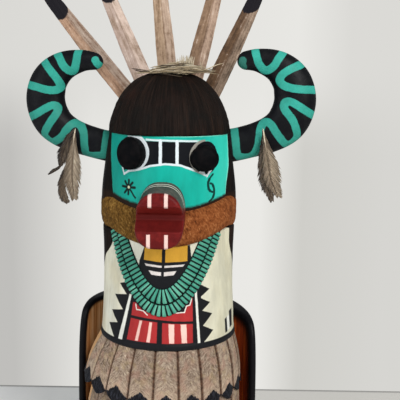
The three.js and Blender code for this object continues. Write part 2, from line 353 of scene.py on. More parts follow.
def hairPaint(paint, angle):  # fine carved strands: their colour and their height
    lines = paint.noise(paint.vector(angle * 1.15, paint.z * 0.035), 1.0, 3.0, 0.6)
    broad = paint.noise(paint.vector(angle * 0.16, paint.z * 0.03, 4.0), 1.0, 1.0)
    colour = paint.tones(lines * 0.72 + broad * 0.33, (0.3, "060403"), (0.5, "120c09"), (0.66, "241812"),
                         (0.82, "463426"))
    patch = paint.noise(paint.place, 0.05, 3.0, 0.6)
    colour = paint.over(patch.spread(0.5, 0.72, 0, 0.5), shade("2a1711"), colour)
    colour = paint.over(patch.spread(0.46, 0.3, 0, 0.5), shade("0a0b0a"), colour)
    return colour, lines


def woodWear(paint, colour, amount=0.16, size=0.12):  # brush marks and a little dirt
    marks = paint.noise(paint.stretched(1.0, 1.0, 0.35), size, 4.0, 0.62)
    return paint.deepen(colour, marks.spread(0.25, 0.75, 1 - amount, 1 + amount * 0.6))


def unroll(points):  # (angle, height) pairs to millimetres on the unrolled surface
    return [(angle * figure["degree"], height) for angle, height in points]


# ---- head: hair, mask and its painted features

headCut = {"floor": 188, "lip": 242.4, "overhang": 0.7, "crownRadius": 38.8, "columns": 400}
maskPaint = {  # outlines are (angle, height) points
    "turquoise": "12a695", "deep": "12786b", "black": "0b0d12", "white": "ccd5d9", "grey": "8d8a82",
    "outline": [(-66.5, 242.6), (-63, 224), (-59, 202), (-40, 196), (73, 196), (75, 222), (82, 242.6)],
    "band": [[(-22, 239.2), (-4, 239.2), (-4, 225.5), (-25, 221.9)],
             [(-5, 239.2), (12, 239), (12, 225.1), (-5, 225.4)],
             [(11, 239), (29, 238.8), (35, 230), (35, 219.8), (11, 225.3)]],
    "bars": [(-4.2, 225.6, 239.6), (10.9, 225.8, 239.4)], "barHalf": 0.98,
    "topLine": [(-17.6, 240.1), (4, 239.8), (31, 239.4)],
    "faintLine": [(31, 239.4), (43, 238.6)],
    "arch": [(-41.4, 218.4), (-36, 220.4), (-24, 222), (-13.5, 224.4), (0.2, 225.8), (13.5, 225.1),
             (27.8, 221.7), (35, 219.7), (40.8, 217.9)],
    "leftEye": ((-30.6, 232.1), 11.1), "leftPupil": ((-35.2, 231.6), 9.9),
    "rightEye": ((37.4, 229.6), 10.5), "rightPupil": ((39.9, 229.1), 10.1),
    "leftPoint": [(-45, 224.5), (-40.6, 219.2), (-36.6, 222.4), (-31, 224.5)],
    "leftLash": [(-44.6, 223), (-41.4, 218.2)],
    "leftChip": [(-36.8, 220.6), (-35.1, 222.9), (-33.4, 221.1)],
    "rightPoint": [(34, 223.5), (38.6, 219.2), (44, 224)],
    "rightChip": [(31.5, 220.5), (36.6, 222.4), (38.2, 219)],
    "rightLash": [(40.4, 217.3), (48.6, 222.6), (45.2, 222.3), (41.6, 219.6)],
    "star": (-35.4, 210.4),
    "rays": [(88, 4.6), (45, 4.4), (2, 4.9), (-48, 8.0), (-92, 4.2), (-133, 4.8), (176, 5.2), (132, 4.6)],
    "crescents": [[(47.9, 218.6), (44.2, 216.6), (41.8, 213.7), (42.3, 210.2), (44.6, 208.3), (47.3, 207.7)],
                  [(44.6, 213.2), (46.8, 212.6), (48.8, 210.3), (49.3, 206.8), (47, 203.9), (42.8, 202)]],
}


def headRows():
    rows = [lambda a: (0, headCut["floor"]), lambda a: (36, headCut["floor"])]
    for step in range(60):
        z = mix(headCut["floor"] + 0.5, headCut["lip"], step / 59)
        rows.append(lambda a, z=z: (bodyRadius("mask", a, max(z, 197)), z))
    lip = lambda a: headCut["lip"] + 0.3 * math.sin(math.radians(a * 3.1))
    shoulder = lambda a: bodyRadius("mask", a, headCut["lip"])
    rows.append(lambda a: (shoulder(a) + 0.05, lip(a) + 0.05))
    rows.append(lambda a: (shoulder(a) + headCut["overhang"] * 0.8, lip(a) + 0.15))
    rise = figure["crown"] - figure["hairline"]
    for step in range(72):
        share = 1 - (1 - step / 71) ** 1.6

        def dome(a, share=share):
            radius = headCut["crownRadius"] * (1 - share ** 1.5) ** (1 / 2.8)
            strands = 0.16 * math.sin(math.radians(a * 97)) + 0.3 * ripple(a, 0, share * 30, 2.2)
            chisel = 0.22 * ripple(a, 7, share * 37, 9)
            fade = clamp(radius / 12) * ramp(share, 0, 0.03)
            return radius + (strands + chisel) * fade, figure["hairline"] + 0.2 + (rise - 0.2) * share

        rows.append(dome)
    return rows


def maskMaterial():
    paint = Paint("maskAndHair", roughness=0.5)
    m, degree = maskPaint, figure["degree"]
    angle = paint.around()
    wobble = paint.noise(paint.place, 0.35, 2.0) - 0.5
    flat = paint.vector(angle * degree + wobble * 0.5, paint.z + wobble * 0.4, 1.0)
    hair, strands = hairPaint(paint, angle)
    brush = paint.noise(paint.stretched(1, 1, 0.4), 0.16, 3.0)
    face = paint.over(brush.spread(0.3, 0.75, 0.0, 0.35), shade(m["deep"]), shade(m["turquoise"]))
    # painted shade: the turquoise deepens towards the left side; painted light: it brightens towards the right
    face = paint.over(angle.spread(10, -55, 0, 0.45), shade(m["deep"]), face)
    face = paint.over(angle.spread(25, 70, 0, 0.9), shade("35c4b0"), face)

    def lay(colour, distance, soft=0.35):
        nonlocal face
        face = paint.over(paint.inside(distance, soft), shade(colour), face)

    for part in m["band"]:
        lay(m["black"], paint.outline(flat, unroll(part)) - 0.1)
    lay(m["white"], paint.stroke(flat, unroll(m["topLine"]), 0.52), 0.6)
    lay("7fc9b6", paint.stroke(flat, unroll(m["faintLine"]), 0.5), 1.2)
    lay(m["white"], paint.stroke(flat, unroll(m["arch"]), 0.62))
    for at, low, high in m["bars"]:
        lay(m["white"], paint.stroke(flat, unroll([(at, low), (at, high)]), m["barHalf"]))
    for name, colour, cut, way in (("left", "white", -38, -1), ("right", "grey", 39, 1)):   # white rings beside the eyes; the right one is painted grey as painted shade
        (at, z), radius = m[name + "Eye"]
        lay(m[colour], paint.disc(flat, (at * degree, z), radius).above((angle - cut) * (way * degree)))
    for name in ("left", "right"):
        (at, z), radius = m[name + "Pupil"]
        lay(m["black"], paint.disc(flat, (at * degree, z), radius))
    for points in (m["leftPoint"], m["rightPoint"]):
        lay(m["black"], paint.outline(flat, unroll(points)))
    lay(m["white"], paint.stroke(flat, unroll(m["leftLash"]), 0.5))
    for points in (m["leftChip"], m["rightChip"], m["rightLash"]):
        lay(m["white"], paint.outline(flat, unroll(points)) - 0.15)

    x, z = m["star"][0] * degree, m["star"][1]
    for turn, long in m["rays"]:
        tip = (x + long * math.cos(math.radians(turn)), z + long * math.sin(math.radians(turn)))
        lay("0a1d1a", paint.stroke(flat, [(x, z), tip], 0.8 if long < 7 else 0.62), 0.5)
    lay("c9cba8", paint.disc(flat, (x + 0.1, z + 0.1), 0.85), 0.6)
    for points in m["crescents"]:
        curve = [tuple(spline(unroll(points), i / 8)) for i in range(9)]
        lay("0b332e", paint.stroke(flat, curve, 0.7).below(paint.stroke(flat, curve[2:7], 1.0)), 0.5)

    edge = paint.outline(flat, unroll(m["outline"]))
    # a painted highlight along the mask's right edge and painted shade along its left edge
    border = paint.over(angle.past(0, 20), shade("7fd8c4"), shade("1f8573"))
    face = paint.over(paint.inside(edge + 0.6, 0.6), face, border)
    colour = paint.over(paint.inside(edge), face, paint.over(0.65, shade("090707"), hair))
    rim = paint.noise(paint.place, 0.5) * 1.4
    ruff = figure["ruff"]
    low = angle.abs().spread(*ruff["rises"], ruff["high"], ruff["high"] + ruff["highRise"])
    shadow = angle.spread(-30, 30, 2.2, 0.9)
    colour = paint.over((paint.z - low - rim - shadow).past(0.2, 1.6), colour, shade("20140c"))
    onHair = (1 - paint.inside(edge)).above(paint.z.past(headCut["lip"], 0.2))
    colour = paint.over(paint.z.past(headCut["lip"], 0.2), hair, colour)
    height = strands * onHair + brush * 0.15
    return paint.finish(colour, height, 0.9, onHair.spread(0, 1, 0.42, 0.62))


def makeHead():
    bm = bmesh.new()
    turned(bm, headRows(), headCut["columns"])
    pieceOf(bm, "head", "figure", maskMaterial())


# ---- ruff

def ruffMaterial():
    paint = Paint("ruffFur", roughness=0.85)
    slanted = paint.vector(paint.around() * 0.77 + paint.z * 0.5, paint.z * 0.45 - paint.around() * 0.17)
    fleck = paint.noise(slanted, 0.75, 3.0, 0.75)
    mottle = paint.noise(paint.place, 0.14, 3.0, 0.6)
    left = paint.tones(fleck * 0.75 + mottle * 0.25, (0.34, "261a0b"), (0.44, "543915"), (0.54, "705022"),
                       (0.66, "9f7b41"))
    right = paint.tones(fleck * 0.7 + mottle * 0.3, (0.34, "35190b"), (0.44, "6e3a1a"), (0.55, "8a502a"),
                        (0.68, "ab7448"))
    # ochre at the left turns to orange-brown at the right, a change of colour, and the right is lighter as
    # painted light
    colour = paint.over(paint.x.spread(-26, 12, 0, 1), right, left)
    return paint.finish(colour, fleck, 0.8)


def makeRuff():
    bm, ruff = bmesh.new(), figure["ruff"]
    count = 44

    def ring(step):
        turn = 2 * math.pi * step / count
        share = 0.5 - 0.5 * math.cos(turn)

        def row(a):
            away = ramp(abs(a), *ruff["rises"])
            height = mix(ruff["low"] + ruff["lowRise"] * away, ruff["high"] + ruff["highRise"] * away, share)
            if math.sin(turn) < 0:
                return 34, height
            fur = 0.3 * ripple(a * 0.7, 3, height, 1.3) + 0.35 * ripple(a * 0.7, 9, height, 3.5)
            base = bodyRadius("robe", a, 180)
            swell = math.sin(turn) ** 0.9
            return mix(base - 1.5 * (1 - swell), ruff["radius"], swell) + fur * swell, height

        return row

    turned(bm, [ring(step) for step in range(count)] + [ring(0)], 440)
    pieceOf(bm, "ruff", "figure", ruffMaterial())


# ---- robe: painted front, hair down the sides and back

robePaint = {  # outlines are (angle, height) points
    "cream": "d6d5c6", "black": "17181b", "red": "9f2d2e", "white": "d9dad1", "pink": "e3bbb0",
    "yellow": "c29232", "dull": "cfc8c4",
    "leftStripe": [(-31.6, 144), (-29.2, 144), (-37.5, 113), (-42.2, 113)],
    "rightStripe": [(27.2, 148), (29.3, 148), (31.4, 113), (29.2, 113)],
    "panel": [(-30.6, 146), (28, 149), (30, 112), (-39.5, 112)],
    "redTop": [(-27.4, 139.4), (25, 143.4), (24.9, 128.3), (-28.6, 130.6)],
    "blocks": [[(-28.8, 129.4), (-4.9, 128.4), (-5.3, 115.4), (-31.9, 115.4)],
               [(-0.8, 128.1), (24.8, 126.9), (24.6, 115.0), (-0.9, 115.2)]],
    "pinks": [[(-20.4, 128.6), (-18.1, 128.6), (-21.4, 115.7), (-24, 115.7)],
              [(-11.6, 128.2), (-9.4, 128.1), (-10.9, 115.6), (-13.8, 115.6)],
              [(4.3, 127.4), (9, 127.2), (9, 115.4), (4.9, 115.4)],
              [(14.3, 127.0), (19.2, 126.8), (19.6, 115.2), (15.2, 115.3)]],
    "divider": [(-28.6, 130.4), (-15, 129.9), (-2.7, 129.2), (10, 128.4), (24.8, 127.7)],
    "steps": [[(-24.6, 138.5), (-23.6, 135.2), (-17.8, 135), (-13.6, 132.6)],
              [(24.2, 142.5), (22.6, 138.8), (19.4, 138.2), (17.8, 134.4), (10.4, 134.4)]],
    "stepBlack": [[(-24.6, 141), (-23.5, 135.2), (-17.8, 135), (-13, 132), (-8, 140)],
                  [(24, 144), (22.5, 138.8), (9, 138.6), (9, 146)],
                  [(19.4, 139), (17.8, 134.5), (8, 134.5), (8, 139)]],
    "teeth": [[(-44, 149.4), (-32, 152), (-30, 142), (-33.5, 142.6)],
              [(-50.2, 141.5), (-31, 144), (-34, 133), (-38.6, 133.6)],
              [(-53.4, 130.9), (-35, 134), (-38, 124), (-43.6, 124.2)],
              [(-56.4, 122), (-38, 125.4), (-40, 112), (-45.2, 112.6)],
              [(30, 152), (42.6, 147.1), (33, 143), (30, 142)],
              [(30, 143.4), (42.7, 138.6), (34, 134.2), (30, 134)],
              [(31, 135.2), (44.8, 131.3), (34.8, 125), (31, 124)],
              [(31, 126), (45, 120.6), (35.6, 114.6), (31, 114)]],
    "teethRoot": [[(-33.4, 147), (-30.0, 147), (-40.5, 112), (-46, 112)],
                  [(28.8, 151), (33, 148), (35.4, 112), (30.8, 112)]],
    "bib": [(-20.6, 176), (-22.9, 166), (-24.6, 162.6), (-13, 148), (5, 147), (25.5, 165), (23.6, 176)],
    "bibYellow": [[(-18, 176), (-2.1, 176), (-2.1, 165.6), (-18.6, 166.6)],
                  [(1.2, 176), (21.4, 176), (20.9, 166.1), (1.0, 165.5)]],
    "bibWhite": [[(-17.7, 164.4), (-2.1, 163.5), (-2.1, 162.3), (-16.4, 163)],
                 [(0.4, 163.5), (18.4, 164.2), (16.8, 162.9), (0.4, 162.3)],
                 [(-13.6, 160.3), (-2.6, 159.4), (-2.6, 157.3), (-11, 157.7)],
                 [(0, 159.5), (11, 160.3), (8.6, 157.8), (0, 157.1)]],
    "sideBars": [[(61.3, 124.5), (65.4, 125.5), (65.4, 115.8), (61.3, 115.5)],
                 [(71, 128), (78, 129), (77, 117.5), (70.5, 117)]],
    "sideWhite": [[(64.6, 125), (71.2, 126), (70.6, 117), (64.6, 116)]],
}


def robeMaterial():
    paint = Paint("robePaint", roughness=0.55)
    r, degree = robePaint, figure["degree"]
    angle = paint.around()
    wobble = paint.noise(paint.place, 0.4, 2.0) - 0.5
    flat = paint.vector(angle * degree + wobble * 0.45, paint.z + wobble * 0.4, 1.0)
    hair, strands = hairPaint(paint, angle)
    grain = paint.noise(paint.stretched(0.6, 0.6, 0.05), 0.9, 4.0, 0.6)
    stain = paint.noise(paint.stretched(1, 1, 0.5), 0.05, 4.0, 0.6)
    cloth = paint.over(stain.spread(0.4, 0.7, 0, 0.5), shade("c4b893"), shade(r["cream"]))
    cloth = paint.over(grain.spread(0.5, 0.75, 0, 0.35), shade("b7ad90"), cloth)
    cloth = paint.over(angle.spread(15, 55, 0, 0.6), shade("bdba9f"), cloth)

    def lay(colour, shapes, soft=0.35):
        nonlocal cloth
        distance = None
        for shape in shapes:
            distance = distance.below(shape) if distance else shape
        cloth = paint.over(paint.inside(distance, soft), shade(colour), cloth)

    def fill(colour, outlines):
        lay(colour, [paint.outline(flat, unroll(points)) for points in outlines])

    fill(r["black"], r["teeth"] + r["teethRoot"])
    fill(r["black"], [r["panel"]])
    fill(r["white"], [r["leftStripe"], r["rightStripe"]])
    fill(r["red"], [r["redTop"]])
    fill(r["black"], r["stepBlack"])
    lay(r["white"], [paint.stroke(flat, unroll(points), 0.3) for points in r["steps"]])
    lay(r["black"], [paint.stroke(flat, unroll(r["divider"]), 0.75)])
    fill(r["red"], r["blocks"])
    fill(r["pink"], r["pinks"])
    fill(r["black"], [r["bib"]])
    fill(r["yellow"], r["bibYellow"])
    fill(r["dull"], r["bibWhite"])
    fill(r["white"], r["sideWhite"])
    fill(r["black"], r["sideBars"])
    beside = (angle - necklace["middle"]) ** 2         # black under the necklace
    upper, lower = ((beside + bow ** 2) ** 0.5 * slope + (lowest - slope * bow)
                    for lowest, slope, bow in (necklace["edges"][0], necklace["edges"][2]))
    lay(r["black"], [(paint.z - upper - 0.3).above(lower + 0.9 - paint.z)])

    toLeft, toRight = -angle - paint.z.spread(140, 177, 92, 60), angle - paint.z.spread(128, 176, 100, 76)
    onHair = (toRight.above(toLeft) * degree).past(0, 0.4)
    colour = paint.over(onHair, hair, cloth)
    colour = paint.over(paint.z.past(figure["hem"][1] + 0.1, 0.35), colour, shade(r["black"]))
    worn = woodWear(paint, colour)
    return paint.finish(worn, strands * onHair + grain * 0.25, 0.7, onHair.spread(0, 1, 0.5, 0.62))


def makeRobe():
    bm = bmesh.new()
    low, high = figure["hem"]
    rows = [lambda a: (0, low + 0.3), lambda a: (41, low + 0.3)]
    for turn in (-60, -30, 0):      # the hem's rounded lower edge
        t = math.radians(turn)
        out, up = 0.8 * math.cos(t) - 0.3, 0.8 * math.sin(t) + 0.8
        rows.append(lambda a, out=out, up=up: (bodyRadius("robe", a, low) + out, low + up))
    rows.append(lambda a: (bodyRadius("robe", a, high) + 0.5, high - 0.5))
    rows.append(lambda a: (bodyRadius("robe", a, high) + 0.25, high - 0.1))
    for step in range(70):
        z = mix(high + 0.1, 182, step / 69)

        def row(a, z=z):
            groove = 0.22 * ripple(a, 0, z * 0.2, 2.2) * haired(a)
            chisel = 0.16 * ripple(a * 0.7, 5, z * 0.35, 8)
            return bodyRadius("robe", a, min(z, 180)) + groove + chisel * ramp(z, high, high + 3), z

        rows.append(row)
    rows += [lambda a: (36, 182.4), lambda a: (0, 182.4)]
    turned(bm, rows, 400)
    pieceOf(bm, "robe", "figure", robeMaterial())


# ---- necklace: two strands of flat beads

necklace = {
    "middle": -1.6, "radius": 39.6, "relief": 2.6, "sunk": 0.6, "pitch": 2.75,
    "edges": [(149.5, 1.86, 30), (139.6, 1.98, 50), (131.8, 1.32, 36)],    # lowest, slope and roundness
    "names": ("necklaceInner", "necklaceOuter"), "reach": (45, 57), "beadSteps": 8,
}


def beadMaterial():
    paint = Paint("turquoiseBeads", roughness=0.45)
    tint, groove = paint.own("bead"), paint.own("groove")
    mottle = paint.noise(paint.place, 0.5, 3.0)
    colour = paint.tones(tint * 0.6 + mottle * 0.4, (0.0, "2f7d6b"), (0.5, "458f7a"), (1.0, "6fb39b"))
    colour = paint.over(groove.past(0.5, 0.25), shade("0f1d1a"), colour)
    return paint.finish(colour, mottle, 0.2)


def makeNecklace():
    n = necklace
    hang = lambda edge, a: edge[0] + edge[1] * (math.hypot(a, edge[2]) - edge[2])
    material = beadMaterial()
    for name, upper, lower, reach in zip(n["names"], n["edges"], n["edges"][1:], n["reach"]):
        middle = lambda a: (hang(upper, a) + hang(lower, a)) / 2

        # Beads are a fixed pitch apart along the strand, so angles come from its length.
        angles, lengths = [-reach], [0.0]
        while angles[-1] < reach:
            a = angles[-1]
            rise = middle(a + 0.25) - middle(a)
            lengths.append(lengths[-1] + math.hypot(0.25 * math.radians(1) * n["radius"], rise))
            angles.append(a + 0.25)
        beads = round(lengths[-1] / n["pitch"])
        steps = beads * n["beadSteps"]
        angleAt = list(zip(lengths, angles))

        def place(u, v):
            share = clamp((v * (steps + 2) - 1) / steps)
            along = share * beads
            a = read(angleAt, share * lengths[-1])
            slope = (middle(a + 0.5) - middle(a - 0.5)) / (n["radius"] * math.radians(1))
            tilt = 1 / math.hypot(1, slope)
            end = 0 if v == 0 or v == 1 else 1
            half = end * (hang(upper, a) - hang(lower, a)) / 2 * tilt
            turn = 2 * math.pi * u
            cut = math.cos(2 * math.pi * along)          # 1 between beads
            notch = ramp(cut, 0.25, 0.75)
            sideways = half * math.copysign(abs(math.cos(turn)) ** 0.8, math.cos(turn))
            lift = end * (n["relief"] * math.copysign(abs(math.sin(turn)) ** 0.7, math.sin(turn)) - n["sunk"]
                          - 0.75 * notch * (math.sin(turn) > 0))
            height = middle(a) + sideways * tilt
            angle = a + n["middle"] - math.degrees(sideways * slope * tilt / n["radius"])
            at = polar(read(figure["robe"], height) + lift, angle, height)
            rim = ramp(abs(math.cos(turn)), 0.86, 0.97)
            return at, (random.Random(int(along + 0.5)).random(), max(notch, rim))

        bm = bmesh.new()
        sheetOf(bm, 18, steps + 2, place, ("bead", "groove"))
        pieceOf(bm, name, "figure", material)


# ---- two tiers of carved feathers

tiers = {
    "pitch": 18, "firstGroove": -6.1, "notch": 5, "aside": -3.4, "rise": 3, "tilt": -3, "columns": 24,
    "upper": {
        "name": "featherSkirt", "tip": 74, "top": 111, "topRadius": 43.9, "tipRadius": 52.8, "inner": 43,
    },
    "lower": {
        "name": "featherUnderskirt", "tip": 44, "top": 86, "topRadius": 46.6, "tipRadius": 52, "inner": 42.5,
    },
}


def acrossFeather(angle):  # 1 at a groove, 0 on the quill; and the side of the quill
    share = (angle - tiers["firstGroove"]) / tiers["pitch"]
    share -= math.floor(share)
    return abs(2 * share - 1), share


def featherTierMaterial(tier):
    paint = Paint(tier["name"], roughness=0.7)
    share = (paint.around() - tiers["firstGroove"]) / tiers["pitch"]           # 1 for each feather
    number, place = share.math("FLOOR"), share.math("FRACT")
    across = (place * 2 - 1).abs()
    luck = paint.node("TexWhiteNoise", {"noise_dimensions": "1D"}, {"W": number + tier["tip"]})
    warp = paint.noise(paint.place, 0.22, 3.0, 0.6)
    slanting = paint.z + across * 7.5
    barbs = (slanting * 2.6 + warp * 26).sin() * 0.5 + 0.5
    streak = paint.noise(paint.vector(share * 22, paint.z * 0.3 + across * 2.2), 1.0, 3.0, 0.7)
    vane = paint.noise(paint.vector(across * 2 + number * 7, slanting * 1.5 + warp * 3), 1.0, 3.0, 0.6)
    mottle = paint.noise(paint.vector(share * 6 + warp * 2, paint.z * 0.34 + across * 1.2), 1.0, 4.0, 0.8)
    mixed = mottle * 0.48 + streak * 0.2 + vane * 0.2 + barbs * 0.05 + luck * 0.07
    colour = paint.tones(mixed, (0.36, "43362b"), (0.44, "6b5a4c"), (0.51, "8c7a6b"), (0.58, "a69582"),
                         (0.67, "cbbba6"))
    patch = paint.noise(paint.place, 0.13, 3.0)
    colour = paint.over(patch.spread(0.48, 0.66, 0, 0.4), shade("a37c6b"), colour)
    patch = paint.noise(paint.place, 0.2, 3.0)
    colour = paint.over(patch.spread(0.52, 0.66, 0, 0.3), shade("ab9670"), colour)
    bare = paint.around().within(-97, -77.5, 1.5)       # a strip at the left
    colour = paint.over(bare * 0.8, paint.over(streak, shade("dcb685"), shade("b27a45")), colour)
    ragged = (paint.noise(paint.vector(share * 34, 0.5), 1.0, 2.0) - 0.5) * 4.5
    sideways = (paint.around() * (math.pi / 180)).sin()
    lift = (sideways * tiers["rise"] + tiers["tilt"]) * sideways
    tipTop = lift + ragged * 0.7 + (tier["tip"] + 11.2) - across * 6.4
    tip = (tipTop - paint.z).past(0, 0.5)
    # the grey streaks on the black tips are a painted sheen
    black = paint.over(streak.spread(0.45, 0.7, 0, 0.7), shade("3a3c46"), shade("0e0e12"))
    # painted shade beside each groove
    colour = paint.over(across.spread(0.7, 0.95, 0, 0.25), shade("5c4536"), colour)
    colour = paint.deepen(colour, paint.x.spread(-45, -8, 1.16, 0.84) + paint.x.spread(10, 45, 0, 0.16))
    near = (paint.z - tier["tip"] - lift - 9).spread(12, 0, 0, 0.4)        # paler toward the black tips
    colour = paint.over(near * vane.spread(0.4, 0.6, 0.3, 1), shade("c9b199"), colour)
    groove = paint.over(mottle.spread(0.4, 0.6, 0, 1), shade("553828"), shade("271711"))
    colour = paint.over(across.past(0.9, 0.1) * 0.9, groove, colour)
    colour = paint.over(tip, black, colour)
    return paint.finish(colour, barbs * 0.3 + mottle, 0.5, tip.spread(0, 1, 0.72, 0.5))


def makeFeatherTiers():
    for tier in (tiers["upper"], tiers["lower"]):
        bm = bmesh.new()
        rows = [lambda a: (tier["inner"], tier["top"] + 0.2)]

        def tipLine(a):
            sideways = math.sin(math.radians(a))
            notch = tiers["notch"] * acrossFeather(a)[0] ** 1.6
            return tier["tip"] + notch + (tiers["rise"] * sideways + tiers["tilt"]) * sideways

        def outside(a, share):          # share 0 at the tip line, 1 at the top
            across, place = acrossFeather(a)
            flare = readSmooth([(0, 0), (0.45, 0.58), (1, 1)], 1 - share)
            radius = mix(tier["topRadius"], tier["tipRadius"], flare)
            radius += tiers["aside"] * (1 - share) * math.sin(math.radians(a))
            quill = 0.35 * ramp(0.12 - abs(place - 0.5), 0, 0.08)
            lap = 0.7 * (place - 0.5)
            barbs = 0.1 * ripple(a * 2.2, share * 30 + across * 8, tier["tip"], 1.4)
            return radius - 1.4 * across ** 3 - 0.8 * ramp(across, 0.9, 1) + quill - lap * 0.8 + barbs

        rows.append(lambda a: (tier["inner"], tipLine(a) + 6))
        for inset, lift in ((3.2, 1.4), (1.6, 0.5), (0.7, 0.0), (0.15, 0.3)):
            rows.append(lambda a, inset=inset, lift=lift: (outside(a, 0) - inset, tipLine(a) + lift))
        for step in range(54):
            share = step / 53
            rows.append(lambda a, share=share: (outside(a, share), mix(tipLine(a) + 0.8, tier["top"], share)))
        rows.append(rows[0])
        turned(bm, rows, 20 * tiers["columns"])
        pieceOf(bm, tier["name"], "figure", featherTierMaterial(tier))


# ---- the log's foot below the feathers

footBlock = {"top": 52, "radius": (45.5, 46.5), "edge": 1.0}


def footMaterial():
    paint = Paint("bareRoot", roughness=0.62)
    angle = paint.around()
    grain = paint.noise(paint.vector(angle * 0.55, paint.z * 0.03), 1.0, 4.0, 0.65)
    colour = paint.tones(grain, (0.25, "3b2110"), (0.5, "6b3f1d"), (0.75, "96612f"))
    colour = paint.over(paint.z.past(19, 0.5), colour, shade("17130f"))
    return paint.finish(colour, grain, 0.5)


def makeFoot():
    bm = bmesh.new()
    low, top, edge = figure["foot"], footBlock["top"], footBlock["edge"]
    inner, outer = footBlock["radius"]
    rows = [lambda a: (0, low), lambda a: (inner - edge, low)]
    rows.append(lambda a: (inner - edge * 0.3, low + edge * 0.3))
    for step in range(16):

        def row(a, share=step / 15):
            chisel = 0.18 * ripple(a * 0.5, 1, share * 9, 3)
            return mix(inner, outer, share) + chisel, mix(low + edge, top, share)

        rows.append(row)
    rows.append(lambda a: (0, top))
    turned(bm, rows, 240)
    pieceOf(bm, "footBlock", "figure", footMaterial())


# ---- cape: a thin shell round the back, open in front

cape = {
    "x": -0.9, "outer": 61.3, "back": 57, "wall": 4.8, "joins": 41, "opens": 86, "tilt": 4.3, "edge": 2.35,
    "shoulder": [(3, 0), (4.4, 70), (6, 94), (10, 111), (16, 117.9), (26, 121.7), (40, 123.9), (80, 126.5)],
    "meanRadius": 57.5, "columns": 150, "rows": 64, "rimPaint": (1.6, 3.8),      # its width, left and right
}


def capeMaterial():
    paint = Paint("capePaint", roughness=0.38)
    rim, within = paint.own("rim"), paint.own("within")
    streak = paint.noise(paint.stretched(1, 1, 0.045), 0.42, 4.0, 0.6)
    fine = paint.noise(paint.stretched(1, 1, 0.06), 1.6, 2.0)
    tan = paint.tones(streak, (0.3, "9c5b2d"), (0.45, "d4935a"), (0.6, "efbd88"), (0.8, "f5d6ab"))
    brown = paint.tones(streak, (0.3, "4a190d"), (0.5, "943a19"), (0.65, "bd5c25"), (0.85, "d58638"))
    # painted light and shade: the inside is tan on the left, where it faces the light, and darker red-brown on
    # the right, in shade
    inner = paint.over(paint.x.spread(-20, 20, 0, 1), brown, tan)
    rimWidth = paint.x.spread(-10, 10, *cape["rimPaint"])
    shadow = ((rim - rimWidth) / paint.x.spread(-10, 10, 2.5, 7)).spread(0, 1, 0, 1)
    inner = paint.over(shadow, inner, shade("1f0f0a"))
    outer = paint.over(fine.spread(0.35, 0.7, 0, 0.5), shade("26221f"), shade("151314"))
    colour = paint.over(within.past(0.5, 0.1), inner, outer)
    colour = paint.over((rim - rimWidth).past(0, 0.6), colour, shade("0f0e11"))
    return paint.finish(colour, streak * 0.6 + fine * 0.3, 0.35)


def makeCape():
    c, low = cape, figure["foot"]
    outer = lambda a: mix(c["back"], c["outer"], a / c["opens"])
    inner = lambda a: mix(c["joins"], outer(a) - c["wall"], ramp(a, 34, 80))
    middle = lambda a: (outer(abs(a)) + inner(abs(a))) / 2
    unrolled = lambda a: math.radians(a) * c["meanRadius"]

    def top(a):
        x, y = middle(a) * math.sin(math.radians(a)), middle(a) * math.cos(math.radians(a))
        return max(low + 20, readSmooth(c["shoulder"], y)) - (x + c["x"]) * math.sin(math.radians(c["tilt"]))

    # Columns stand closer together towards the two free edges.
    angles = [c["opens"] * math.sin(math.pi * (i / c["columns"] - 0.5)) for i in range(c["columns"] + 1)]
    rimLine = [(unrolled(a), top(a)) for a in angles]
    rimLine = [(rimLine[0][0], low - 5)] + rimLine + [(rimLine[-1][0], low - 5)]

    def rimDistance(s, z):
        best = 99.0
        for (x0, z0), (x1, z1) in zip(rimLine, rimLine[1:]):
            if min(abs(s - x0), abs(s - x1)) > 16 and min(z0, z1) > z + 16:
                continue
            way = Vector((x1 - x0, z1 - z0))
            share = clamp(Vector((s - x0, z - z0)).dot(way) / max(way.length_squared, 1e-9))
            best = min(best, math.hypot(s - x0 - way.x * share, z - z0 - way.y * share))
        return best

    n, ledge, under = c["rows"], 4, 2          # rows up each face, over the top and under the foot
    total = 2 * n + ledge + under
    spacing = lambda t: 1 - (1 - t) ** 1.7

    def sheetPoint(a, share, sign):
        z = mix(low, top(a), share)
        d = rimDistance(unrolled(a), z)
        half = (outer(abs(a)) - inner(abs(a))) / 2
        edge = min(c["edge"], half)
        if d < edge:
            half += math.sqrt(max(0, edge ** 2 - (edge - d) ** 2)) - edge
        if abs(abs(a) - c["opens"]) < 1e-6:
            half = 0
        return middle(a) + sign * half, z, d

    def place(u, v):
        a = angles[round(u * c["columns"])]
        row = round(v * total)
        if row <= n:
            radius, z, d = sheetPoint(a, spacing(row / n), 1)
        elif row < n + ledge:
            (start, z, d), (end, z, d) = sheetPoint(a, 1, 1), sheetPoint(a, 1, -1)
            radius = mix(start, end, (row - n) / ledge)
        elif row <= 2 * n + ledge:
            radius, z, d = sheetPoint(a, spacing((2 * n + ledge - row) / n), -1)
        else:
            (start, z, d), (end, z, d) = sheetPoint(a, 0, -1), sheetPoint(a, 0, 1)
            radius = mix(start, end, (row - 2 * n - ledge) / under)
        at = polar(radius, 180 - a, z) + Vector((c["x"], 0, 0))
        return at, (d, float(row >= n + ledge or row == 0))     # the edge that it stands on shows bare wood

    bm = bmesh.new()
    sheetOf(bm, c["columns"], total, place, ("rim", "within"))
    pieceOf(bm, "cape", "figure", capeMaterial())


# ---- horns

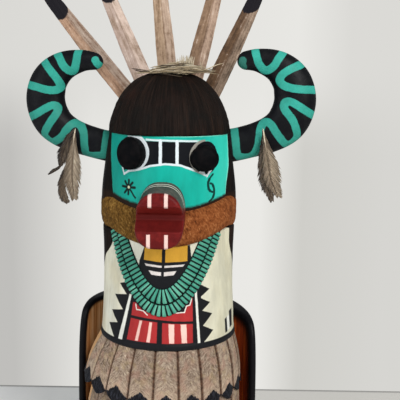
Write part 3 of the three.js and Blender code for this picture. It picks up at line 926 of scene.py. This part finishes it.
horn = {  # (x, height) points along the middle and along each painted band
    "depth": 17, "around": 48, "along": 220, "line": 4.9, "patch": 4.7, "capShare": 0.09,
    "centre": [(33, 232.8), (49, 236.4), (64.3, 241.6), (75, 249.5), (79.8, 262), (77.5, 275), (69, 284.2),
               (56, 288.4), (42.6, 287.6)],
    "widths": [21.6, 21.2, 23, 26.2, 26.8, 25, 20.6, 14.8, 10],
    "left": {
        "side": -1, "lift": -1.7, "slim": 0.93, "node": "horn_left", "name": "hornLeft",
        "bands": [
            [(-39.6, 244), (-41.2, 229)],
            [(-42, 227), (-52.6, 227), (-54, 232), (-54.6, 241.5), (-58.3, 247), (-63, 246), (-68.8, 238.4),
             (-75.2, 235), (-79.8, 239.4), (-76.4, 246.4), (-71.6, 253.4), (-71, 257.4), (-75, 258.2),
             (-85.5, 252.4), (-94, 249)],
            [(-94, 272), (-85.1, 270.2), (-75.2, 267.9), (-69.6, 269.4), (-70.2, 273.9), (-76.2, 281.7),
             (-83, 290)],
            [(-76, 296), (-70.4, 289.6), (-66.3, 282.5), (-61.6, 280), (-59.4, 284), (-58.2, 291.7),
             (-57.4, 297)],
            [(-47.2, 287.2), (-46.2, 285.4), (-44.6, 283.4)],
        ],
    },
    "right": {
        "side": 1, "lift": 0, "slim": 1, "node": "horn_right", "name": "hornRight",
        "bands": [
            [(41.6, 245), (43.6, 229)],
            [(44.6, 227.6), (50, 227), (54.4, 229.4), (57.1, 236), (57.9, 244.6), (60.6, 249.6), (64.6, 248.6),
             (69.4, 241.6), (75.6, 235.6), (81.4, 241), (78.4, 251), (72.8, 258.4), (73.2, 262.6), (78, 262.4),
             (90.3, 255), (97, 252)],
            [(97, 270.4), (87.3, 270.6), (77.5, 271.3), (71.2, 273.5), (69.4, 277.6), (73.8, 282), (82, 285.9),
             (89, 289)],
            [(76, 299), (69.6, 291.4), (65, 284.4), (60.4, 282.2), (56.6, 285.6), (54.4, 291.3), (53.4, 298)],
            [(46.0, 288.2), (45.7, 286.2), (46.4, 284)],
        ],
    },
}


def hornMaterial():
    paint = Paint("hornPaint", roughness=0.45)
    distance = paint.own("stripe") + (paint.noise(paint.place, 0.3, 2.0) - 0.5) * 0.7
    brush = paint.noise(paint.place, 0.2, 3.0)
    bright = paint.over(paint.x.past(0, 1), shade("33998a"), shade("309585"))
    green = paint.over(brush.spread(0.35, 0.75, 0, 0.6), shade("2b8476"), bright)
    # painted shade on the horns' lower parts near the head, deeper on the left horn
    low = paint.z.spread(268, 238, 0, 1) * paint.x.spread(-1, 1, 0.75, 0.4)
    green = paint.over(low, shade("2a7a6c"), green)
    tip = paint.inside((paint.x - 46).abs() - 4, 1.0) * paint.z.past(281, 1)
    green = paint.over(tip * 0.9, shade("2a5f55"), green)
    black = paint.over(brush.spread(0.4, 0.8, 0, 0.6), shade("1a1c1c"), shade("0b0c10"))
    colour = paint.over(paint.inside(distance, 0.4), green, black)
    return paint.finish(woodWear(paint, colour, 0.08), brush + paint.inside(distance, 1.2) * 0.2, 0.3)


def makeHorn(which, material):
    side, lift, slim = which["side"], which["lift"], which["slim"]
    centre = [(x, z + lift) for x, z in horn["centre"]]
    widths = [(i / (len(horn["widths"]) - 1), w) for i, w in enumerate(horn["widths"])]
    widthAt = lambda share: slim * readSmooth(widths, share)
    length = sum((spline(centre, i / 200) - spline(centre, (i - 1) / 200)).length for i in range(1, 201))
    cap = horn["widths"][-1] / 2 / length
    flatness = horn["depth"] / widthAt(0.5)
    capStart = 1 - horn["capShare"]
    finer = lambda points, count: [spline(points, i / count) for i in range(count + 1)]
    bands = [finer(band, 5 * (len(band) - 1)) for band in which["bands"]]

    def stripe(x, z):                   # how far from the painted bands; the last is the patch at the tip
        here, best = Vector((x, z)), 99.0
        for band in bands:
            half = (horn["patch"] if band is bands[-1] else horn["line"]) / 2
            for start, end in zip(band, band[1:]):
                way = end - start
                share = clamp((here - start).dot(way) / way.length_squared)
                best = min(best, (here - start - way * share).length - half)
        return best

    def place(u, v):
        turn = 2 * math.pi * u
        if v > capStart:                # the rounded tip
            bend = (v - capStart) / (1 - capStart) * math.pi / 2
            share, size = 1 - cap + cap * math.sin(bend), math.cos(bend)
        else:
            share, size = v / capStart * (1 - cap), 1.0
        size *= 0 if v == 0 or v == 1 else 1
        point = spline(centre, share)
        along = (spline(centre, min(1, share + 0.004)) - spline(centre, share - 0.004)).normalized()
        half = size * widthAt(share) / 2
        out = half * math.cos(turn)
        wave = 0.12 * ripple(point.x, math.cos(turn) * 8, point.y, 7)
        x, z = side * (point.x + along.y * (out + wave)), point.y - along.x * (out + wave)
        return Vector((x, half * flatness * math.sin(turn), z)), (stripe(x, z),)

    bm = bmesh.new()
    sheetOf(bm, horn["around"], horn["along"], place, ("stripe",))
    pieceOf(bm, which["name"], which["node"], material)


# ---- snout with the open mouth

snout = {
    "x": -1.3, "z": 197.2, "width": 28, "height": 35.6, "front": -67, "edge": 2.2, "back": -31, "root": -39,
    "slope": 3.2, "mouth": (204.6, 189.8), "throat": (198.6, 195.4), "mouthDepth": 9,
    "teeth": [(-6.5, 208.2, 4.6), (2.9, 208.2, 4.6), (-7.2, 183.6, 4.8), (3.1, 183.6, 4.8)],
    "toothHalf": 1.05, "rings": (-44.2, -48.2), "ringHalf": 0.7, "voxel": 0.42,
}


def snoutMaterial():
    paint = Paint("snoutPaint", roughness=0.42)
    s = snout
    brush = paint.noise(paint.place, 0.25, 4.0, 0.6)
    grey = paint.over(brush.spread(0.35, 0.7, 0, 0.7), shade("665750"), shade("423936"))
    # painted shade down the snout's left side
    grey = paint.over(paint.x.spread(-2, -12, 0, 0.6), shade("2b2625"), grey)
    for at in s["rings"]:
        grey = paint.over(paint.inside((paint.y - at).abs() - s["ringHalf"], 0.4), shade("cfcabd"), grey)
        grey = paint.over(paint.inside((paint.y - at + 2.0).abs() - 0.6, 0.5), shade("232422"), grey)
    red = paint.over(brush.spread(0.35, 0.7, 0, 0.8), shade("701d1b"), shade("541213"))
    across = (paint.x - s["x"]).abs()
    gape = (paint.y - s["front"]) / s["mouthDepth"]        # 0 at the lips, 1 in the throat
    lips = (paint.z - 197.1).abs() - (8.9 - gape * 5.6)
    inMouth = paint.inside(lips, 0.8) * paint.y.past(s["front"] + 0.4, 0.4)
    inMouth = inMouth * (1 - across.past(13.2, 0.3)) * (1 - gape.past(1.3, 0.1))
    # painted shade inside the mouth
    red = paint.over(inMouth * 0.65, shade("4c1210"), red)
    red = paint.over(inMouth * paint.z.past(196.6, 3.0) * 0.65, shade("78211c"), red)       # painted light on its roof
    # painted shade deep in the throat
    red = paint.over(inMouth * gape.past(0.85, 0.15) * 0.7, shade("4c1210"), red)
    # painted shade along the crease inside the mouth
    crease = paint.inside((paint.z - 196.6 + (paint.noise(paint.place, 0.3) - 0.5) * 1.2).abs() - 0.5, 0.8)
    red = paint.over(crease * inMouth * 0.2, shade("3a0a0a"), red)
    front = 1 - paint.y.past(s["front"] + 2.8, 0.5)
    for x, z, half in s["teeth"]:
        box = ((paint.x - x).abs() - s["toothHalf"]).above((paint.z - z).abs() - half)
        red = paint.over(paint.inside(box, 0.35) * front, shade("dcbcb4"), red)
    jaw = 1 - (paint.z + paint.y * 0.12).past(195, 4)
    colour = paint.over(front.above(inMouth).above(jaw), red, grey)
    return paint.finish(colour, brush, 0.3)


def makeSnout():
    s = snout
    squared = lambda value: math.copysign(abs(value) ** 0.75, value)        # between round and square

    def place(u, v):
        turn = 2 * math.pi * u
        inset = 0.0
        if v < 0.05:
            size, y = v / 0.05, s["back"]
        elif v > 0.7:
            bend = clamp((v - 0.7) / 0.12)
            inset = s["edge"] * (1 - math.cos(bend * math.pi / 2))
            y = s["front"] + s["edge"] * (1 - math.sin(bend * math.pi / 2))
            size = 1 - clamp((v - 0.82) / 0.18)
        else:
            size, y = 1.0, mix(s["back"], s["front"] + s["edge"], (v - 0.05) / 0.65)
        jaw = 1 - 0.07 * math.sin(turn)
        wide, tall = s["width"] / 2 - inset, s["height"] / 2 - inset
        up = size * tall * squared(math.sin(turn))
        up -= s["slope"] * clamp((s["root"] - y) / (s["root"] - s["front"])) * (up / s["height"] + 0.5)
        return Vector((s["x"] + size * wide * jaw * squared(math.cos(turn)), y, s["z"] + up))

    bm = bmesh.new()
    sheetOf(bm, 96, 90, place)
    bmesh.ops.recalc_face_normals(bm, faces=bm.faces)
    bar = bpy.data.objects.new("bar", bpy.data.meshes.new("bar"))
    bm.to_mesh(bar.data)
    bm.free()

    # The mouth is cut as a wedge right across the front.
    (top, bottom), (backTop, backBottom) = s["mouth"], s["throat"]
    bm = bmesh.new()
    corners = [(s["front"] - 6, top + 4), (s["front"], top), (s["front"] + s["mouthDepth"], backTop),
               (s["front"] + s["mouthDepth"], backBottom), (s["front"], bottom), (s["front"] - 6, bottom - 4)]
    face = bm.faces.new([bm.verts.new((-20, y, z)) for y, z in corners])
    grown = bmesh.ops.extrude_face_region(bm, geom=[face])["geom"]
    bmesh.ops.translate(bm, vec=(40, 0, 0), verts=[v for v in grown if isinstance(v, bmesh.types.BMVert)])
    bmesh.ops.recalc_face_normals(bm, faces=bm.faces)
    wedge = bpy.data.objects.new("wedge", bpy.data.meshes.new("wedge"))
    bm.to_mesh(wedge.data)
    bm.free()
    for thing in (bar, wedge):
        bpy.context.collection.objects.link(thing)

    cut = bar.modifiers.new("cut", "BOOLEAN")
    cut.operation, cut.object, cut.solver = "DIFFERENCE", wedge, "EXACT"
    even = bar.modifiers.new("even", "REMESH")
    even.mode, even.voxel_size = "VOXEL", s["voxel"]
    soft = bar.modifiers.new("soft", "SMOOTH")
    soft.factor, soft.iterations = 0.5, 5
    bpy.context.view_layer.update()
    carved = bpy.data.meshes.new_from_object(bar.evaluated_get(bpy.context.evaluated_depsgraph_get()))
    bm = bmesh.new()
    bm.from_mesh(carved)
    for thing in (bar, wedge):
        bpy.data.objects.remove(thing)
    for vert in bm.verts:                       # teeth stand a little proud
        for x, z, half in s["teeth"]:
            if vert.co.y < s["front"] + 4 and abs(vert.co.x - x) < s["toothHalf"] and abs(vert.co.z - z) < half:
                vert.co.y -= 0.3
    pieceOf(bm, "snout", "snout", snoutMaterial(), outward=False)


# ---- eyes

eyes = {
    "radius": 8.8, "wall": 5.6, "dome": 2.6, "edge": 0.9,
    "left": {"name": "eyeLeft", "node": "eye_left", "at": -30.8, "facing": -28, "z": 231.4, "tall": 1.1},
    "right": {"name": "eyeRight", "node": "eye_right", "at": 37, "facing": 8, "z": 229, "tall": 0.89},
}


def eyeMaterial():
    paint = Paint("eyePaint", roughness=0.6, shine=0.035)
    brush = paint.noise(paint.place, 0.22, 4.0)
    colour = paint.over(brush.spread(0.35, 0.7, 0, 0.7), shade("120f10"), shade("050608"))
    return paint.finish(colour, brush, 0.3)


def makeEye(eye, material):
    e = eyes
    reach = e["radius"] - e["edge"]
    profile = [(0, -3), (e["radius"], -3), (e["radius"], e["wall"] - e["edge"])]
    for turn in (20, 45, 70):
        t = math.radians(turn)
        profile.append((reach + e["edge"] * math.cos(t), e["wall"] - e["edge"] + e["edge"] * math.sin(t)))
    for step in range(1, 9):
        t = step / 8 * math.pi / 2
        profile.append((reach * math.cos(t) if step < 8 else 0, e["wall"] + e["dome"] * math.sin(t)))
    bm = bmesh.new()
    lathe(bm, profile, 56)
    where = (Matrix.Translation(polar(read(figure["mask"], eye["z"]), eye["at"], eye["z"]))
             @ Matrix.Rotation(math.radians(eye["facing"]), 4, "Z")
             @ Matrix.Scale(eye["tall"], 4, (0, 0, 1)) @ Matrix.Rotation(math.radians(90), 4, "X"))
    bmesh.ops.transform(bm, matrix=where, verts=bm.verts)
    pieceOf(bm, eye["name"], eye["node"], material)


# ---- crest of five carved feathers

crest = {
    "y": 14, "footHeight": 262, "buried": 14, "width": 12.8, "thickness": 2, "ridge": 0.35, "bunching": 1.25,
    "outline": [(0, 1), (0.5, 0.94), (0.84, 0.74), (0.9, 0.69), (0.95, 0.53), (0.985, 0.27), (1, 0.04)],
    "fan": [(-25.4, 39.4, 95), (-12.3, 23.7, 88), (-0.6, 6.1, 86), (10.6, -13.9, 87), (23.3, -24.7, 83)],
    # above: x, lean and length of each; below: its black end, and the slope of that end
    "black": [25.8, 19.3, 17.5, 17.5, 20.0], "slant": [-0.2, 0.1, 0.2, -0.3, -0.5],
    "tones": [("aa8a73", "9e8c7e", "6b5140"), ("ac988d", "beaa9d", "85705f"), ("a08871", "a89280", "6c5542"),
              ("846b56", "a48c7a", "5b4637"), ("614a37", "8d7968", "382a20")],     # left and right halves, whose difference is painted light and shade either side of the ridge; streaks
}


def crestMaterial(index):
    left, right, dark = (shade(tone) for tone in crest["tones"][index])
    length = crest["fan"][index][2] + crest["buried"]
    paint = Paint(f"crestPaint{index + 1}", roughness=0.62)
    across, up = paint.own("across"), (1 - (1 - paint.uv()[1]) ** crest["bunching"]) * length
    # the left and right halves are painted as the shaded and the lit side of the ridge
    light = paint.over(across.past(0.06, 0.3), right, left)
    barbs = ((up + across.abs() * 6) * 2.2 + paint.noise(paint.place, 0.25, 3.0) * 24).sin() * 0.5 + 0.5
    place = paint.vector(across * 3.2 + index * 9, up * 0.045 + across.abs() * 0.5)
    streak = paint.noise(place, 1.0, 4.0, 0.7)
    mottle = paint.noise(paint.place, 0.14, 4.0, 0.75)
    tone = streak * 0.58 + mottle * 0.4 + barbs * 0.02
    colour = paint.over(tone.spread(0.34, 0.57, 0, 1), light, dark)
    colour = paint.over(tone.spread(0.55, 0.68, 0, 0.5), shade("e6d6c8"), colour)
    colour = paint.over(paint.inside((across - 0.06).abs() - 0.03, 0.12) * 0.5, shade("5b4334"), colour)
    start = length - crest["black"][index]
    ragged = (paint.noise(paint.vector(across * 2.2, index * 3.0), 1.0, 2.0) - 0.5) * 3
    tip = (up + across * crest["slant"][index] * 5 - across ** 2 * 3 + ragged + 1).past(start, 0.8)
    colour = paint.over(tip, shade("17151a"), colour)
    return paint.finish(colour, barbs * 0.12 + streak, 0.35)


def makeCrestFeather(index):
    c = crest
    x, lean, length = c["fan"][index]
    total = length + c["buried"]
    upright = Matrix.Rotation(math.radians(-lean), 4, "Y")

    def place(u, v):
        turn = 2 * math.pi * u
        share = 1 - (1 - v) ** c["bunching"]            # rows stand closer together towards the tip
        half = read(c["outline"], share) * c["width"] / 2
        across, front = math.cos(turn), -math.sin(turn)
        thick = (c["thickness"] / 2 - c["ridge"]) * (1 - 0.25 * abs(across))
        thick *= math.copysign(abs(front) ** 0.6, front)
        if abs(front) > 0.3:
            thick += math.copysign(c["ridge"] * math.exp(-((across - 0.06) / 0.12) ** 2), front)
        if v in (0, 1):
            half, thick = 0, 0
        edge = 0.12 * ripple(share * 90, index * 7, math.copysign(1, across) * 3, 2.5)
        bend = 0.5 * math.sin(share * math.pi) * (index - 2) / 2
        at = Vector((across * (half + edge * (half > 1)) + bend, -thick, share * total - c["buried"]))
        return upright @ at + Vector((x, c["y"], c["footHeight"])), (across,)

    bm = bmesh.new()
    sheetOf(bm, 36, 150, place, ("across",))
    number = index + 1
    pieceOf(bm, f"crestFeather{number}", f"crest_feather_{number}", crestMaterial(index))


# ---- strands, for the fibre tuft and the soft feathers

def strand(bm, layers, path, radius, sides, steps, tint, flat=1.0, across=None):
    # A thin closed tube along path(share), pointed at its end. flat squashes it along the direction across.
    tintLayer, alongLayer = layers
    corners = bmesh.ops.create_grid(bm, x_segments=sides, y_segments=steps, size=0.5,
                                    matrix=Matrix.Translation((0.5, 0.5, 0)))["verts"]
    for vert in corners:
        u, v = vert.co.x, vert.co.y
        here, ahead = path(v), path(v + 0.02)
        way = (ahead - here).normalized()
        out = across if across is not None else Vector((0, 1, 0))
        wide = way.cross(out).normalized()
        out = wide.cross(way).normalized()
        size = radius * (1.0 if 0 < v < 1 else 0.02) * (1 - 0.75 * v ** 3)
        turn = 2 * math.pi * u
        vert[tintLayer], vert[alongLayer] = tint, v
        vert.co = here + wide * (size * math.cos(turn)) + out * (size * flat * math.sin(turn))
    bmesh.ops.remove_doubles(bm, verts=corners, dist=0.0005)


tuft = {
    "y": -7, "z": 281.6, "middle": 6, "swell": 4.2, "seed": 7, "strands": 230, "wisps": 90,
    "ties": [[(-5, -15, 284.4), (3, -16.5, 284.4), (9, -16.5, 285.6), (15, -14, 285.8)],
             [(-24, -7, 282.2), (-17, -9, 281.4), (-8, -13, 279.8), (4, -17.5, 278.2), (9, -17.5, 277.8)],
             [(-22, -6, 281.2), (-15, -9, 280.2), (-6, -13, 279.6), (2, -16.5, 278.4)],
             [(13, -14, 279.4), (19, -10, 280.4), (24, -8, 281.6), (28, -7, 282.6)],
             [(20, -9, 281), (25, -8, 283), (30, -7, 285.2), (34, -6, 286.2)]],
}


def fibreMaterial():
    paint = Paint("driedFibre", roughness=0.8, sheen=0.2)
    tint, along = paint.own("tint"), paint.own("along")
    colour = paint.tones(tint, (0.0, "35281d"), (0.22, "75644b"), (0.5, "97876b"), (0.8, "baab90"),
                         (1.0, "dfd6c0"))
    colour = paint.over(along.spread(0.7, 1.0, 0, 0.4), shade("7d7253"), colour)
    return paint.finish(colour, paint.noise(paint.stretched(0.4, 2, 2), 2.0, 2.0), 0.1)


def makeTuft():
    t = tuft
    dice = random.Random(t["seed"])
    bm = bmesh.new()
    layers = bm.verts.layers.float.new("tint"), bm.verts.layers.float.new("along")

    def lying(start, end, y0, y1, z0, z1, hump, wave):
        phase = dice.uniform(0, 6)
        return lambda s: Vector((mix(start, end, s), mix(y0, y1, s) + wave * math.sin(3 * s + phase),
                                 mix(z0, z1, s) + hump * math.sin(math.pi * clamp(s))
                                 + wave * math.sin(5 * s + phase)))

    for _ in range(t["strands"]):                   # laid over the crown, hanging a little down its front
        x, turn = dice.gauss(t["middle"], 6.5), dice.uniform(-0.15, 1.1) * math.pi
        deep, tall = dice.uniform(0.2, 1), dice.uniform(0.35, 1)
        swell = math.exp(-((x - t["middle"]) / 13) ** 2)
        y = t["y"] - 10.5 * deep * math.cos(turn)
        z = t["z"] + swell * t["swell"] * tall * math.sin(turn) - (1 - swell) * 1.5
        reach = dice.uniform(5, 11)
        path = lying(x - reach, x + reach, y + dice.uniform(-2, 2), y + dice.uniform(-2, 2),
                     z - 0.9, z + dice.uniform(-1.2, 0.9), dice.uniform(0.2, 1.3), 0.35)
        strand(bm, layers, path, dice.uniform(0.16, 0.42), 4, 8, clamp(dice.gauss(0.45, 0.2)))
    for _ in range(t["wisps"]):                     # pale wisps that stand up between the feathers
        x, y = dice.gauss(10.5, 3.2), dice.uniform(-8, 4)
        path = lying(x, x + dice.uniform(-2, 3), y, y + dice.uniform(-2, 2),
                     t["z"], t["z"] + dice.uniform(5, 10), 0, 0.4)
        strand(bm, layers, path, dice.uniform(0.12, 0.24), 4, 7, clamp(dice.gauss(0.85, 0.1)))
    for points in t["ties"]:                        # twine round the bundle, and the loose ends
        tint = 0.75 if points is t["ties"][-1] else 0.03
        strand(bm, layers, lambda s, points=points: spline(points, s), 0.34, 6, 18, tint)
    pieceOf(bm, "fibreTuft", "tuft", fibreMaterial())


hanging = {  # each feather: its quill from top to tip, half widths left and right, tint, and how far in front
    "y": -10.9, "barbs": 96, "barbAngle": 34,
    "left": {"name": "softFeatherLeft", "node": "hanging_feather_left", "side": -1, "seed": 3,
             "colours": ("241b15", "665848", "988a78"),
             "feathers": [
                 {"quill": [(-58.9, 244.5), (-60.2, 236), (-61, 224), (-61.4, 213), (-60.2, 199.5)],
                  "left": 6.0, "right": 6.0, "tint": 0.78, "y": 0.0, "pale": True},
                 {"quill": [(-59, 244), (-62.4, 240), (-65, 234), (-67, 228), (-68.6, 221.5)],
                  "left": 3.4, "right": 3.8, "tint": 0.02, "y": -0.7, "pale": False},
                 {"quill": [(-66.4, 224.5), (-69.2, 219.8), (-72.8, 217.2), (-76.3, 214.9)],
                  "left": 1.2, "right": 0.8, "tint": 0.0, "y": -0.6, "pale": False},
                 {"quill": [(-64.4, 223), (-66.6, 215.5), (-67.8, 208), (-67, 201.5), (-64.8, 197)],
                  "left": 3.2, "right": 3.0, "tint": 0.3, "y": 1.2, "pale": False}]},
    "right": {"name": "softFeatherRight", "node": "hanging_feather_right", "side": 1, "seed": 11,
              "colours": ("241b16", "665849", "968774"),
              "feathers": [
                  {"quill": [(59.4, 246.5), (61.2, 236), (63.2, 226), (65.4, 214), (70.2, 203.5)],
                   "left": 4.4, "right": 6.4, "tint": 0.76, "y": 0.0, "pale": True},
                  {"quill": [(59.2, 246), (60.2, 236), (61.2, 225), (62.8, 213), (66.4, 200.5)],
                   "left": 5.2, "right": 4.2, "tint": 0.3, "y": 1.0, "pale": False}]},
    "spread": [(0, 0.05), (0.08, 0.1), (0.16, 0.45), (0.3, 0.85), (0.5, 1), (0.6, 0.95), (0.72, 0.8),
               (0.85, 0.55), (0.95, 0.35), (1, 0.2)],
}


def softFeatherMaterial(which):
    dark, middle, light = which["colours"]
    paint = Paint(which["name"] + "Barbs", roughness=0.75, sheen=0.15)
    tint, along = paint.own("tint"), paint.own("along")
    bars = paint.noise(paint.stretched(0.5, 0.5, 1), 0.35, 2.0)
    quill = tint.past(1.05, 0.05) * along.spread(0.15, 0.5, 0, 0.45)        # pale at its foot, darker beyond
    tone = tint * 0.8 + bars * 0.3 - along * 0.2 - quill
    colour = paint.tones(tone, (0.0, dark), (0.5, middle), (0.9, light), (1.0, "c9bda6"))
    return paint.finish(colour, bars, 0.1)


def makeSoftFeather(which):
    h, dice = hanging, random.Random(which["seed"])
    bm = bmesh.new()
    layers = bm.verts.layers.float.new("tint"), bm.verts.layers.float.new("along")
    for feather in which["feathers"]:
        y = h["y"] + feather["y"]
        quill = [Vector((x, y, z)) for x, z in feather["quill"]]
        beyond = (spline(quill, 1) - spline(quill, 0.96)) * 25
        curve = lambda s: spline(quill, s) if s <= 1 else spline(quill, 1) + beyond * (s - 1)
        strand(bm, layers, lambda s: curve(s * 0.98) + Vector((0, -0.25, 0)), 0.42, 6, 24,
               1.1 if feather["pale"] else feather["tint"])
        for side, wide in ((-1, feather["left"]), (1, feather["right"])):
            split = 0.0                             # barbs part here and there
            for i in range(h["barbs"]):
                share = mix(0.06, 0.99, i / (h["barbs"] - 1))
                if dice.random() < 0.08:
                    split = dice.gauss(0, 5)
                root = curve(share)
                way = (curve(share + 0.01) - root).normalized()
                long = read(h["spread"], share) * wide / math.sin(math.radians(h["barbAngle"]))
                long *= dice.uniform(0.86, 1.06)
                turn = (h["barbAngle"] + split * 0.7 + dice.uniform(-2, 2)) * side
                out = Matrix.Rotation(math.radians(-turn), 3, "Y") @ way
                droop = dice.uniform(-0.5, 0.3)

                def path(s):
                    bent = way * (long * 0.22 * s * s) + Vector((0, droop * s * s - 0.15 * s, 0))
                    return root + out * (long * s) + bent

                tint = feather["tint"] + dice.gauss(0, 0.1) + (0.12 if side > 0 else -0.1)
                strand(bm, layers, path, 0.42, 4, 5, clamp(tint - 0.4 * ramp(0.34 - share, 0, 0.14)), 0.22)
    pieceOf(bm, which["name"], which["node"], softFeatherMaterial(which))


# ---- plinth

plinth = {"radius": 75, "height": 12, "edge": 1.5}


def plinthMaterial():
    paint = Paint("stainedPlinth", roughness=0.4, coat=0.15)
    rings = paint.noise(paint.stretched(1, 0.12, 1), 0.22, 5.0, 0.6)
    pores = paint.noise(paint.stretched(1, 0.05, 1), 1.6, 2.0)
    colour = paint.tones(rings, (0.3, "1c0e08"), (0.5, "3a2114"), (0.7, "57351f"))
    colour = paint.over(pores.spread(0.55, 0.7, 0, 0.5), shade("140a06"), colour)
    return paint.finish(colour, rings + pores * 0.4, 0.25)


def makePlinth():
    edge, inner, height = plinth["edge"], plinth["radius"] - plinth["edge"], plinth["height"]
    profile = [(0, 0), (inner, 0)]
    for middle, first in ((edge, -90), (height - edge, 0)):             # the two rounded edges
        for step in range(5):
            t = math.radians(first + 22.5 * step)
            profile.append((inner + edge * math.cos(t), middle + edge * math.sin(t)))
    profile.append((0, height))
    bm = bmesh.new()
    lathe(bm, profile, 160)
    pieceOf(bm, "plinth", "plinth", plinthMaterial())


# ---- camera, floor and light

view = {"distance": 506, "side": 4, "height": 280, "down": 9.2, "turn": 1.71, "roll": 0.8, "lens": 70.56}
studio = {
    "far": 164, "turn": 1.4, "floorHalf": 1.5, "floor": "dfdcd5", "room": (0.62, 0.64, 0.66), "ambient": 0.6,
    "key": (0.5, 10.5, (0.5, -0.78, 0.75), (1, 0.98, 0.96)),        # size, power, place and tint
    "fill": (0.9, 5, (-0.8, -0.7, 0.5), (0.97, 0.99, 1)),
    "aim": (0, 0, 0.19),
}


def makeCamera():
    camera = bpy.data.objects.new("camera", bpy.data.cameras.new("camera"))
    bpy.context.collection.objects.link(camera)
    camera.data.lens, camera.data.sensor_width = view["lens"], 36
    camera.data.clip_start, camera.data.clip_end = 0.02, 20
    where = polar(view["distance"], view["side"], view["height"]) * mm
    camera.matrix_world = (Matrix.Translation(where) @ Matrix.Rotation(math.radians(view["turn"]), 4, "Z")
                           @ Matrix.Rotation(math.radians(90 - view["down"]), 4, "X")
                           @ Matrix.Rotation(math.radians(view["roll"]), 4, "Z"))
    bpy.context.scene.camera = camera


def makeFloor():
    bm = bmesh.new()
    half, turn = studio["floorHalf"], math.radians(studio["turn"])
    where = Matrix.Rotation(turn, 4, "Z") @ Matrix.Translation((0, studio["far"] * mm - half, 0))
    bmesh.ops.create_grid(bm, x_segments=1, y_segments=1, size=half, matrix=where)
    mesh = bpy.data.meshes.new("floor")
    bm.to_mesh(mesh)
    bm.free()
    paint = Paint("floorPaint", roughness=0.7)
    soft = paint.noise(paint.place, 0.01, 2.0)
    # painted light: the floor is lighter towards the left
    top = paint.over(paint.x.spread(-350, 150, 0, 1), shade(studio["floor"]), shade("f6f6f6"))
    top = paint.over(soft * 0.2, shade("e2e3e0"), top)
    # a painted pool of light where the figure's shadow falls
    top = paint.over(paint.x.within(-125, -45, 40), shade("fbfaf6"), top)
    farEdge = (paint.y - paint.x * math.tan(turn)).past(studio["far"] - 3, 2.5)
    top = paint.over(farEdge, shade("a8a6a2"), top)
    mesh.materials.append(paint.finish(top))
    floor = bpy.data.objects.new("floor", mesh)
    bpy.context.collection.objects.link(floor)


def makeLight(name):
    size, power, place, tint = studio[name]
    lamp = bpy.data.lights.new(name, "AREA")
    lamp.shape, lamp.size, lamp.energy, lamp.color = "DISK", size, power, tint
    light = bpy.data.objects.new(name, lamp)
    bpy.context.collection.objects.link(light)
    light.location = place
    light.rotation_mode = "QUATERNION"
    light.rotation_quaternion = (Vector(studio["aim"]) - Vector(place)).to_track_quat("-Z", "Y")


wallTones = {  # across the wall: brighter behind the figure, and even high above it
    "low": [(0.04, "bfbebb"), (0.22, "e7e6e2"), (0.58, "eae9e5"), (0.67, "cfcec9"), (0.85, "d6d5d1")],
    "high": [(0.04, "dad9d5"), (0.65, "e8e7e3"), (0.76, "dbdad6")],
}


def wallColour(room):  # the wall's tone in the direction that is looked in
    way = room.node("NewGeometry", {}, {}, "Position")
    x, y, z = (room.node("SeparateXYZ", {}, {0: way}, i) for i in range(3))
    ahead = y.above(0.3)
    across = x / ahead / 0.6 + 0.5
    low, high = (room.tones(across, *wallTones[row]) for row in ("low", "high"))
    return room.over((z / ahead).spread(-0.11, 0.02, 0, 1), high, low)


def makeStudio():
    world = bpy.data.worlds.new("studio")
    bpy.context.scene.world = world
    world.use_nodes = True
    nodes, links = world.node_tree.nodes, world.node_tree.links
    wall = nodes["Background"]
    links.new(wallColour(Nodes(world.node_tree)).socket, wall.inputs["Color"])
    room = nodes.new("ShaderNodeBackground")            # the light that the room itself gives
    room.inputs["Color"].default_value = (*studio["room"], 1)
    room.inputs["Strength"].default_value = studio["ambient"]
    seen, choose = nodes.new("ShaderNodeLightPath"), nodes.new("ShaderNodeMixShader")
    links.new(seen.outputs["Is Camera Ray"], choose.inputs[0])
    links.new(room.outputs[0], choose.inputs[1])
    links.new(wall.outputs[0], choose.inputs[2])
    links.new(choose.outputs[0], nodes["World Output"].inputs[0])
    makeLight("key")
    makeLight("fill")
    bpy.context.scene.view_settings.view_transform = "Standard"


makeCamera()
makeStudio()
makeFloor()
makeHead()
makeRuff()
makeRobe()
makeNecklace()
makeFeatherTiers()
makeFoot()
makeCape()
hornPaint = hornMaterial()
makeHorn(horn["left"], hornPaint)
makeHorn(horn["right"], hornPaint)
makeSnout()
eyePaint = eyeMaterial()
makeEye(eyes["left"], eyePaint)
makeEye(eyes["right"], eyePaint)
for number in range(len(crest["fan"])):
    makeCrestFeather(number)
makeTuft()
makeSoftFeather(hanging["left"])
makeSoftFeather(hanging["right"])
makePlinth()
print("all pieces are made")
